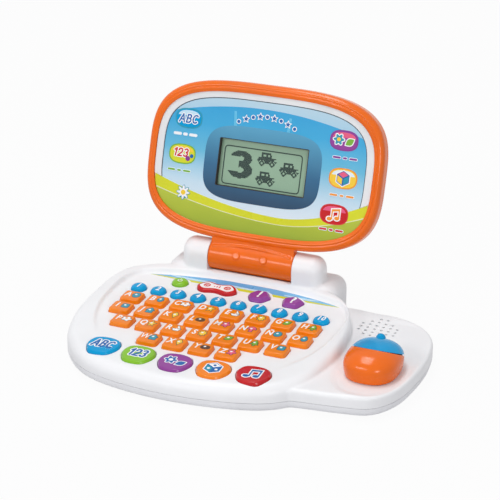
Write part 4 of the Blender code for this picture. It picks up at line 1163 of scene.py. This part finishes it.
def power_sign(piece):
    """A ring that is open at the top, with a short bar in the gap."""
    ring = arc(0, 0, 1.9, 1.9, 125, 415, 24) + arc(0, 0, 1.3, 1.3, 415, 125, 24)
    for sign in (ring, box_outline(0.7, 2.0, 0.3, 3, (0.0, 1.5))):
        piece.shape(sign, "white_ink", SIGN_LOW, SIGN_HIGH)


def melody_sign(piece):
    """A white plate with a note at each end and three bars between."""
    piece.shape(grow(LOBED_KEY, -2.2), "white_ink", SIGN_LOW, SIGN_HIGH)
    for x, y in ((-8.2, 0.2), (8.2, 0.2)):
        piece.mark(circle(2.7, 28, (x, y)), "red_ink")
        for step, part in enumerate(note(x, y, 1.5)):
            piece.mark(part, "white_ink", 0.03 + 0.004 * step)
    for step in (-1, 0, 1):
        piece.mark(box_outline(0.9, 2.4 + step, 0.4, 3, (2.0 * step, 0.0)), "red_ink")


def function_keys():
    for name, x, outline, look in FUNCTIONS:
        piece = Piece(name + "_cap", SIGN_LOW, SIGN_HIGH, 3.08)
        if name == "power_button":
            piece.take(key_solid(outline, dome_levels(KEY_TOP, POWER_RADIUS)), look)
            power_sign(piece)
        elif name == "melody_button":
            piece.take(key_solid(outline, edge_levels(KEY_TOP, radius=1.3)), look)
            melody_sign(piece)
        else:
            piece.take(key_solid(outline, FACET_LEVELS), look)
            sign = "!" if name == "hint_button" else "?"
            piece.text(sign, (0.0, 0.2), SIGN_LOW, size=9.2, bold=0.34, lean=0.1, tall=1.35)
        place_key(piece, DECK, (x, FUNCTION_Y), name, look)


def activity_sign(piece, name):
    if name in ("letters_button", "numbers_button"):
        words = "ABC" if name == "letters_button" else "123"
        lettering(piece, words, (0.0, 0.7), size=(4.9, 8.0), look="blue_ink", weights=(3.3, 1.6))
    elif name == "nature_button":
        print_flower(piece, (-3.2, 1.0), size=4.6, leaf_place=(5.0, -1.4), leaf_size=4.0, eye=1.6,
                     looks=("blue_ink", "blue_ink", "white_ink"))
    elif name == "puzzle_button":
        looks = ("white_ink", "teal_ink", "blue_ink")
        print_cube(piece, (0, 0.3), size=6.4, margin=0.8, inset=0.45, looks=looks)
        for x, y, tint in ((0.0, 3.5, "blue_ink"), (-2.8, -1.3, "white_ink"), (2.8, -1.3, "white_ink")):
            piece.mark(circle(1.1, 16, (x, y)), tint, 0.08)
    else:
        print_note(piece, (0, 0.4), size=5.4, look="blue_ink", margin=0.9)


def activity_keys():
    for (name, look), place in zip(ACTIVITY_LOOKS, ACTIVITY_PLACES):
        piece = Piece(name + "_cap", 1.6, 1.85, 1.90)
        piece.take(key_solid(ACTIVITY_KEY, cap_levels(ACTIVITY_TOP, draft=0.7, radius=0.7)), look)
        activity_sign(piece, name)
        place_key(piece, APRON, place, name, look)


# Mouse


def mouse_dome(share=1.0):
    """The mouse hull, or the same shrunk about the middle of its foot."""
    low, skirt = MOUSE_FOOT, 1.6
    sections = [(0.90, low), (0.945, low + 0.5), (0.96, low + skirt)]
    for step in range(1, 5):
        bulge = 0.04 * sin(pi / 2 * step / 4)
        sections.append((0.96 + bulge, low + skirt + (MOUSE_WAIST - skirt) * step / 4))
    for step in range(1, 17):
        angle = pi / 2 * step / 16.6
        up = low + MOUSE_WAIST + (MOUSE_HEIGHT - MOUSE_WAIST) * sin(angle)
        sections.append((cos(angle) ** 0.75, up))
    across, along = MOUSE_HALF
    dome = loft([level(oval(across * reach, along * reach, 2.5, 96), up) for reach, up in sections])
    if share != 1.0:
        foot = raised(low)
        dome.data.transform(foot @ Matrix.Scale(share, 4) @ raised(-low))
    return dome


def above_seam(fall, drop):
    """Everything above a plane that slants down to the back from the front edge of the mouse button."""
    room = block((-90, -90, -drop), (90, 90, 90))
    room.data.transform(Matrix.Translation(SEAM_EDGE) @ Matrix.Rotation(-fall, 4, "X"))
    return room


def mouse_hull():
    """The hull up to its seam, with the post that stands in the carriage."""
    hull = mouse_dome()
    cut(hull, above_seam(ROCKED, 0.15))
    bottom = PAD_FLOOR - WALL - GAP - 4.5
    join(hull, turned(((5.0, bottom), (5.0, MOUSE_FOOT + 2.0)), 32))
    settle("mouse_hull", [hull], "orange", MOUSE, "mouse_body", "mouse_body")


def mouse_cap():
    """The button, with a collar and a small ball at its far tip."""
    cap = mouse_dome()
    combine(cap, "INTERSECT", above_seam(SEAM_FALL, 0.0))
    collar = turned(((5.0, -6.0), (5.0, -0.9), (4.8, -0.3), (4.3, 0.1), (3.4, 0.3)), 40)
    tip = Matrix.Translation((-0.8, 16.9, MOUSE_FOOT + 15.4))
    collar.data.transform(tip @ Matrix.Rotation(-radians(38), 4, "X"))
    join(cap, collar, ball(3.5, (-1.2, 17.6, MOUSE_FOOT + 16.0)))
    cut(cap, mouse_dome(0.975))
    settle("mouse_cap", [cap], "blue", MOUSE, "mouse_button", "mouse_button")


def mouse_core():
    """A near-black core that fills the gap under the button: painted shade of the seam."""
    core = mouse_dome(0.945)
    cut(core, above_seam(ROCKED, -1.4))
    combine(core, "INTERSECT", above_seam(ROCKED, 0.3))
    settle("mouse_core", [core], "painted_shade_liner", MOUSE, "mouse_body", slot="speaker")


# Lid

# Insets, extra insets at the top and bottom, and heights of the rim's bead and its inner side
RIM_BEAD = (
    (3.7, 0.2, 9.74), (3.95, 0.3, 9.60), (4.2, 0.4, 9.56), (4.45, 0.45, 9.66), (4.65, 0.5, 9.98),
    (4.8, 0.55, 10.16), (5.0, 0.6, 10.22), (5.25, 0.7, 10.16), (5.6, 0.85, 9.98), (6.3, 1.15, 9.72),
    (6.7, 1.3, 9.56), (6.8, 1.35, 9.40), (6.8, 1.35, 8.95), (6.8, 0.0, 8.95), (6.8, 0.0, LCD_FACE),
    (9.8, 0.0, LCD_FACE), (9.8, 0.0, GAP / 2),
)


def rod(sections, sides):
    """A solid along the hinge, through a distance across and a radius for each of its ends and steps."""
    return loft([[(u, v, w) for v, w in circle(radius, sides)] for u, radius in sections])


def neck_bead():
    """A raised bead that arches over the front of the barrel."""
    path = []
    for step in range(41):
        share = step / 20 - 1
        up = 6.6 + 3.0 * (1 - share ** 2)
        out = max(PANEL_FACE, (BARREL_RADIUS ** 2 - up ** 2) ** 0.5)
        path.append((share * 31.5, up, out - 0.25))
    return tube(path, 1.05)


def barrel():
    """The hinge barrel with its neck, the bead over it and two round bumps."""
    rounding = ((0.0, 0.6), (0.2, 0.2), (0.7, 0.0))
    ends = [(BARREL_HALF - inset, BARREL_RADIUS - fall) for inset, fall in rounding]
    solid = rod([(-across, radius) for across, radius in ends] + ends[::-1], 96)
    join(solid, block((-NECK_HALF, 0.0, 0.6), (NECK_HALF, 15.8, PANEL_FACE)), neck_bead())
    soften(solid, voxel=0.45, rounds=3)
    for x in (-11.0, 11.0):
        bump = turned(((3.3, 8.0), (3.3, 11.55), (3.15, 11.85), (2.8, 12.0), (1.8, 12.08)), 32)
        bump.data.transform(Matrix.Rotation(-radians(12), 4, "X") @ Matrix.Translation((x, 0, 0)))
        join(solid, bump)
    return solid


def lid_rings(profile):
    return [level(lid_outline(inset), height) for inset, height in profile]


def lid_front():
    """The rim with its bead, run into the hinge barrel."""
    profile = [(0.0, GAP / 2), (0.0, 3.0), (0.0, RIM_EDGE)]
    profile += [(RIM_RADIUS * inset, RIM_EDGE + RIM_RADIUS * rise) for inset, rise in quarter(10)[1:8]]
    bead = [level(lid_outline(inset, extra), height) for inset, extra, height in RIM_BEAD]
    rim = loft(lid_rings(profile) + bead, ring_shaped=True)
    join(rim, barrel())
    cut(rim, rod(((-60.0, PIN_BORE), (60.0, PIN_BORE)), 24))
    settle("lid_front", [rim], "orange", LID, "lid", "lid_front_frame", angle=32)


def lid_back():
    """The lid's hollow back, with a shallow panel and four screw wells."""
    profile = [(0.0, -GAP / 2), (0.0, BACK_EDGE)]
    profile += [(BACK_RADIUS * inset, BACK_EDGE - BACK_RADIUS * rise) for inset, rise in quarter(12)[1:]]
    profile += [(20.0, -7.8), (20.8, -7.6), (21.6, -7.15), (22.4, -6.95), (24.0, BACK_FACE)]
    back = loft(lid_rings(profile)[::-1])
    cut(back, slab([lid_outline(WALL)], BACK_FACE + WALL, 20.0))
    for centre in LID_WELLS:
        join(back, disc(BOSS_RADIUS, -6.0, -1.0, centre))
        cut(back, bore(3.0, -20.0, -5.0, centre))
    settle("lid_back", [back], "orange", LID, "lid", "lid_back_shell")


def lid_screws():
    screws = [screw(SCREW_RADIUS, -6.4, -5.05, place) for place in LID_WELLS]
    settle("lid_screws", screws, "steel", LID, "lid")


def on_panel(x, up):
    """A place on the lid, measured from the middle of the display."""
    return x, LCD_MIDDLE + up


def badge(piece, centre, looks):
    """A glossy oval badge: rim, face and a light along its upper edge."""
    low = PANEL_FACE + 0.10
    halves = ((11.0, 7.6), (10.1, 6.7), (9.2, 6.0))
    rim, face, light = (oval(*half, 2.6, 48, centre) for half in halves)
    light = [(x, y) for x, y in light if y > centre[1] + 1.4]
    for outline, look, height in zip((rim, face, light), looks, (0.06, 0.09, 0.11)):
        piece.shape(outline, look, low, low + height)


def span(outline, x):
    """Lowest and highest point of a convex outline at a distance across."""
    heights = []
    for (x0, y0), (x1, y1) in zip(outline, outline[1:] + outline[:1]):
        if min(x0, x1) <= x <= max(x0, x1) and x0 != x1:
            heights.append(y0 + (y1 - y0) * (x - x0) / (x1 - x0))
    return (min(heights), max(heights)) if heights else (0.0, 0.0)


def between(lower, upper, outline):
    """The part of the panel inside an outline and between two lines, each a height for a distance across."""
    reach = max(x for x, y in outline)
    near, far = [], []
    for step in range(-160, 161):
        x = reach * step / 160
        low, high = span(outline, x)
        low, high = max(low, lower(x)), min(high, upper(x))
        if high > low + 0.02:
            near.append((x, low))
            far.append((x, high))
    return near + far[::-1]


def valley(edge, middle, lift=0.0):
    """A line that falls from both edges of the panel to a low point right of the middle."""
    def height(x):
        share = (x - 18.0) / (104.0 if x < 18.0 else 68.0)
        return LCD_MIDDLE + middle + (edge - middle) * abs(share) ** 1.8 + lift
    return height


def below(line, outline):
    return between(lambda x: 0.0, line, outline)


WINDOW = box_outline(71.8, 36.3, 0.8, 3, (0.0, LCD_MIDDLE))


def landscape(sheet):
    """The sheet with its printed sky, hills and silver border, and the dark surround of the display."""
    low, base = PANEL_FACE - 0.1, PANEL_FACE
    field = lid_outline(7.1)
    line = grow(field, -5.5)
    inner = grow(field, -6.2)
    sheet.shape(field, "panel", 6.2, base, WINDOW)
    sheet.shape(line, "line_ink", low, base + 0.02, WINDOW)
    sheet.shape(inner, "sky", low, base + 0.04, WINDOW)
    arch = between(lambda x: LCD_MIDDLE + 43.0 - 11.0 * ((x + 4.0) / 78.0) ** 2, lambda x: 200.0, inner)
    sheet.shape(arch, "high_sky", low, base + 0.06)
    for x, lean in ((-22.0, -0.10), (16.0, 0.06)):
        corners = ((24.0, -1.2), (24.0, 1.2), (39.0, 1.0), (39.0, -1.0))
        ray = [on_panel(x + lean * up + side, up) for up, side in corners]
        sheet.shape(ray, "pale_sky_ink", low, base + 0.05)
    border = object_of(flat_mesh([field, line], low, base + 0.5))
    cut(border, slab([below(valley(-16.0, -35.6, 0.4), grow(field, 3.0))], 0.0, 20.0))
    sheet.take(border, "panel")
    hills = ((-16.0, -35.6, "lime_ink", 0.08), (-24.8, -40.5, "pale_grass_ink", 0.10),
             (-25.6, -41.0, "grass", 0.12))
    for edge, middle, look, height in hills:
        sheet.shape(below(valley(edge, middle), field), look, low, base + height)
    sheet.shape(oval(46.8, 28.6, 4.0, 120, (0.0, LCD_MIDDLE)), "surround", low, base + 0.14, WINDOW)


def badges(sheet):
    """Five badges with the signs of the activity buttons."""
    for x, up, looks in (
        (-63.0, 28.8, ("teal_ink", "blue", "pale_blue_ink")),
        (-65.3, 1.4, ("green_ink", "lime_ink", "yellow_ink")),
        (61.7, 28.3, ("purple_ink", "purple", "pink_ink")),
        (64.4, 0.7, ("orange_ink", "yellow_ink", "cloud_ink")),
        (60.9, -26.4, ("red_ink", "red", "pink_ink")),
    ):
        badge(sheet, on_panel(x, up), looks)
    lettering(sheet, "ABC", on_panel(-63.0, 28.6), size=(4.8, 5.8), look="blue_ink", weights=(2.4, 1.1))
    lettering(sheet, "123", on_panel(-66.4, 2.6), size=(4.5, 5.6), look="red_ink", weights=(2.4, 1.1))
    for x, up, radius, look in ((-60.4, -1.6, 1.9, "purple_ink"), (-57.4, 0.6, 1.5, "blue_ink")):
        sheet.mark(circle(radius, 24, on_panel(x, up)), look)
    print_flower(sheet, on_panel(57.6, 28.8), size=4.2, leaf_place=on_panel(66.2, 27.6), leaf_size=3.8,
                 eye=1.5, looks=("teal_ink", "green_ink", "yellow_ink"))
    cube_looks = ("pink_ink", "yellow_ink", "teal_ink")
    print_cube(sheet, on_panel(64.4, 0.8), size=5.6, margin=0.7, inset=0.5, looks=cube_looks)
    print_note(sheet, on_panel(60.9, -26.4), size=4.6, look="orange_ink", margin=0.8)


def small_marks(sheet):
    """Dashes below the badges, a bent row of dots and stars along the top, and a daisy."""
    for x, up, look in ((-64.5, 16.5, "white_ink"), (-66.5, -11.2, "green_ink"), (64.0, 15.6, "purple_ink"),
                        (65.0, -12.0, "orange_ink"), (60.0, -38.0, "red_ink")):
        for shift, length in ((-6.4, 6.0), (0.0, 3.0), (6.4, 6.0)):
            place = on_panel(x + shift, up)
            sheet.shape(box_outline(length + 0.9, 2.3, 1.1, 4, place), "cloud_ink", sheet.low, sheet.rim)
            sheet.mark(box_outline(length, 1.4, 0.69, 4, place), look)
    for index in range(9):
        x = 5.6 * (index - 4)
        place = on_panel(x, 37.6 - 0.012 * x * x)
        sign = moved(star(5, 1.0, 0.5), *place, 2.1) if index % 2 else circle(1.3, 20, place)
        sheet.edged(sign, "blue_ink", 0.55)
    daisy = on_panel(-61.0, -27.5)
    sheet.edged(moved(petals(8, 0.24, 64), *daisy, 5.4), "white_ink", 0.4, "teal_ink")
    sheet.mark(circle(1.9, 24, daisy), "yellow_ink", 0.04)


def panel():
    sheet = Piece("printed_panel", PANEL_FACE, PANEL_FACE + 0.10 + 0.14, PANEL_FACE + 0.10 + 0.18)
    landscape(sheet)
    badges(sheet)
    small_marks(sheet)
    sheet.settle(LID, "lid", "screen_panel", "panel")


def display_module():
    """The frame behind the window, the glass, and the sides of the window, whose near-black colour is
    painted shade.
    """
    module = Piece("screen_module")
    middle = (0.0, LCD_MIDDLE)
    module.shape(box_outline(79.8, 44.3, 1.5, 4, middle), "painted_shade_liner", LCD_FACE - 4.0, LCD_FACE, WINDOW)
    module.shape(box_outline(72.4, 36.9, 0.5, 3, middle), "display", LCD_FACE - 3.0, GLASS_FACE)
    # The window's sides in near-black: painted shade of the recess
    module.shape(WINDOW, "painted_shade_liner", GLASS_FACE, PANEL_FACE + 0.16, grow(WINDOW, -0.5))
    module.settle(LID, "lid", "display_module", "display")


def pixels(piece, inside, centre, half):
    """Square cells of a grid whose middles pass a test, joined into runs along each row."""
    count_x, count_y = int(half[0] / CELL), int(half[1] / CELL)
    x, y = centre
    for row in range(-count_y, count_y + 1):
        start = None
        for column in range(-count_x, count_x + 2):
            lit = column <= count_x and inside(column * CELL, row * CELL)
            if lit and start is None:
                start = column
            elif not lit and start is not None:
                left, right = x + (start - 0.5) * CELL, x + (column - 0.5) * CELL
                low, high = y + (row - 0.48) * CELL, y + (row + 0.48) * CELL
                piece.mark([(left, low), (right, low), (right, high), (left, high)], "pixel_ink")
                start = None


def three(x, y):
    """A thick figure made of two bows."""
    upper = abs(hypot((x + 0.4) / 1.45, y - 4.3) - 3.9) < 2.1
    lower = abs(hypot((x + 0.4) / 1.55, y + 4.2) - 4.2) < 2.2
    return upper and (x > -2.0 or y > 5.6) or lower and (x > -2.0 or y < -5.6)


def car(x, y):
    """A small car seen from the side."""
    wheel = min(hypot(x - 4.2, y + 3.4), hypot(x + 4.2, y + 3.4))
    if wheel < 2.6:
        return 0.8 < wheel < 2.0
    hull = abs(x) < 7.6 and -3.2 < y < 1.0 and abs(x) + 0.6 * abs(y + 1.0) < 8.0
    cabin = -4.6 < x < 3.4 and 1.0 <= y < 4.6 and x + 0.5 * y < 4.6
    panes = 1.6 < y < 3.7 and (-3.7 < x < -1.0 or 0.0 < x < 2.4 - 0.4 * (y - 1.6))
    light = x > 5.4 and -1.2 < y < 0.2
    return (hull or cabin) and not panes and not light


def screen_print():
    """The lit cells of the display: a frame, a figure and three cars."""
    low, high = GLASS_FACE - 0.1, GLASS_FACE + 0.06
    piece = Piece("screen_print", low, high, high)
    outer = rounded_corners(box_outline(63.2, 29.6, 0.02, 1, on_panel(-1.2, -1.8))[::2], 3.2, 3)
    piece.shape(outer, "pixel_ink", low, high, grow(outer, -0.9))
    pixels(piece, three, on_panel(-18.2, -0.3), (10.9, 10.5))
    for place in ((2.3, 6.2), (20.6, 0.8), (2.5, -8.2)):
        pixels(piece, car, on_panel(*place), (8.2, 6.2))
    piece.settle(LID, "lid", None, "display")


# Stage


def seen(tree):
    """One where a camera, a reflection or a see-through ray looks straight at the background."""
    rays = add_node(tree, "LightPath", {}).outputs
    value = rays["Is Camera Ray"]
    for other in ("Is Glossy Ray", "Is Transmission Ray"):
        value = add_node(tree, "Math", {0: value, 1: rays[other]}, operation="MAXIMUM").outputs["Value"]
    return value


def mix_in(tree, share, plain, bright, output):
    """Show one shader where the share is nought and another where it is one."""
    mix = add_node(tree, "MixShader", {"Fac": share, 1: plain.outputs[0], 2: bright.outputs[0]})
    plug(tree, tree.nodes[output], "Surface", mix.outputs["Shader"])


def floor():
    points = bmesh.new()
    below_feet = raised(-0.0002)
    bmesh.ops.create_circle(points, cap_ends=True, segments=96, radius=4.0, matrix=below_feet)
    ground = new_object(points)
    ground.name = "floor"
    material, tree, shader, place = new_material("floor")
    plug(tree, shader, "Base Color", mottled(tree, place, (204, 204, 207), (208, 208, 210), scale=3.0))
    plug(tree, shader, "Roughness", 0.9)
    plug(tree, shader, "Specular IOR Level", 0.1)
    glow = 0.95
    share = add_node(tree, "Math", {0: seen(tree), 1: glow}, operation="MULTIPLY").outputs["Value"]
    mix_in(tree, share, shader, add_node(tree, "Emission", {"Strength": 1.0}), "Material Output")
    ground.data.materials.append(material)


def world():
    surroundings = bpy.data.worlds.new("studio")
    bpy.context.scene.world = surroundings
    surroundings.use_nodes = True
    tree = surroundings.node_tree
    soft = tree.nodes["Background"]
    plug(tree, soft, "Color", (0.97, 0.98, 1.0, 1.0))
    plug(tree, soft, "Strength", 0.43)
    white = add_node(tree, "Background", {"Color": (1.0, 1.0, 1.0, 1.0), "Strength": 1.0})
    mix_in(tree, seen(tree), soft, white, "World Output")


def lamp(name, place, aim, width, height, power):
    light = bpy.data.lights.new(name, "AREA")
    light.shape = "RECTANGLE"
    light.size = width
    light.size_y = height
    light.energy = power
    obj = object_of(light, name)
    obj.location = place
    obj.rotation_euler = (Vector(aim) - Vector(place)).to_track_quat("-Z", "Y").to_euler()


def camera():
    data = bpy.data.cameras.new("camera")
    data.sensor_width = 36.0
    data.lens = 118.8
    data.clip_end = 100.0
    obj = object_of(data, "camera")
    obj.location = ROOT @ Vector((438.9, -981.8, 549.1))
    obj.rotation_euler = (radians(66.27), 0.0, radians(22.84))
    bpy.context.scene.camera = obj


def inner_nodes():
    """CAD pieces that show only through gaps keep their shape and get their finish."""
    for name, look in (("circuit_board", "board"), ("key_membrane", "rubber"), ("speaker", "speaker"),
                       ("mouse_carriage", "grey_shell"), ("hinge_pin", "steel")):
        node = frame["nodes"][name]
        node.data.materials.clear()
        node.data.materials.append(LOOKS[look])


bpy.context.scene.view_settings.view_transform = "Standard"
top_shell()
bottom_shell()
foot_pads()
case_screws()
battery_cover()
deck_print()
letter_keys()
number_keys()
function_keys()
activity_keys()
mouse_hull()
mouse_cap()
mouse_core()
lid_front()
lid_back()
lid_screws()
panel()
display_module()
screen_print()
inner_nodes()
floor()
world()
lamp("key_light", (-0.80, -1.72, 1.15), aim=(0.0, 0.0, 0.08), width=0.9, height=0.4, power=9.5)
lamp("top_light", (-0.35, 0.0, 1.95), aim=(0.0, 0.0, 0.0), width=1.3, height=0.5, power=15.6)
lamp("fill_light", (1.25, -1.6, 0.78), aim=(0.0, 0.0, 0.08), width=0.7, height=0.5, power=10.4)
camera()
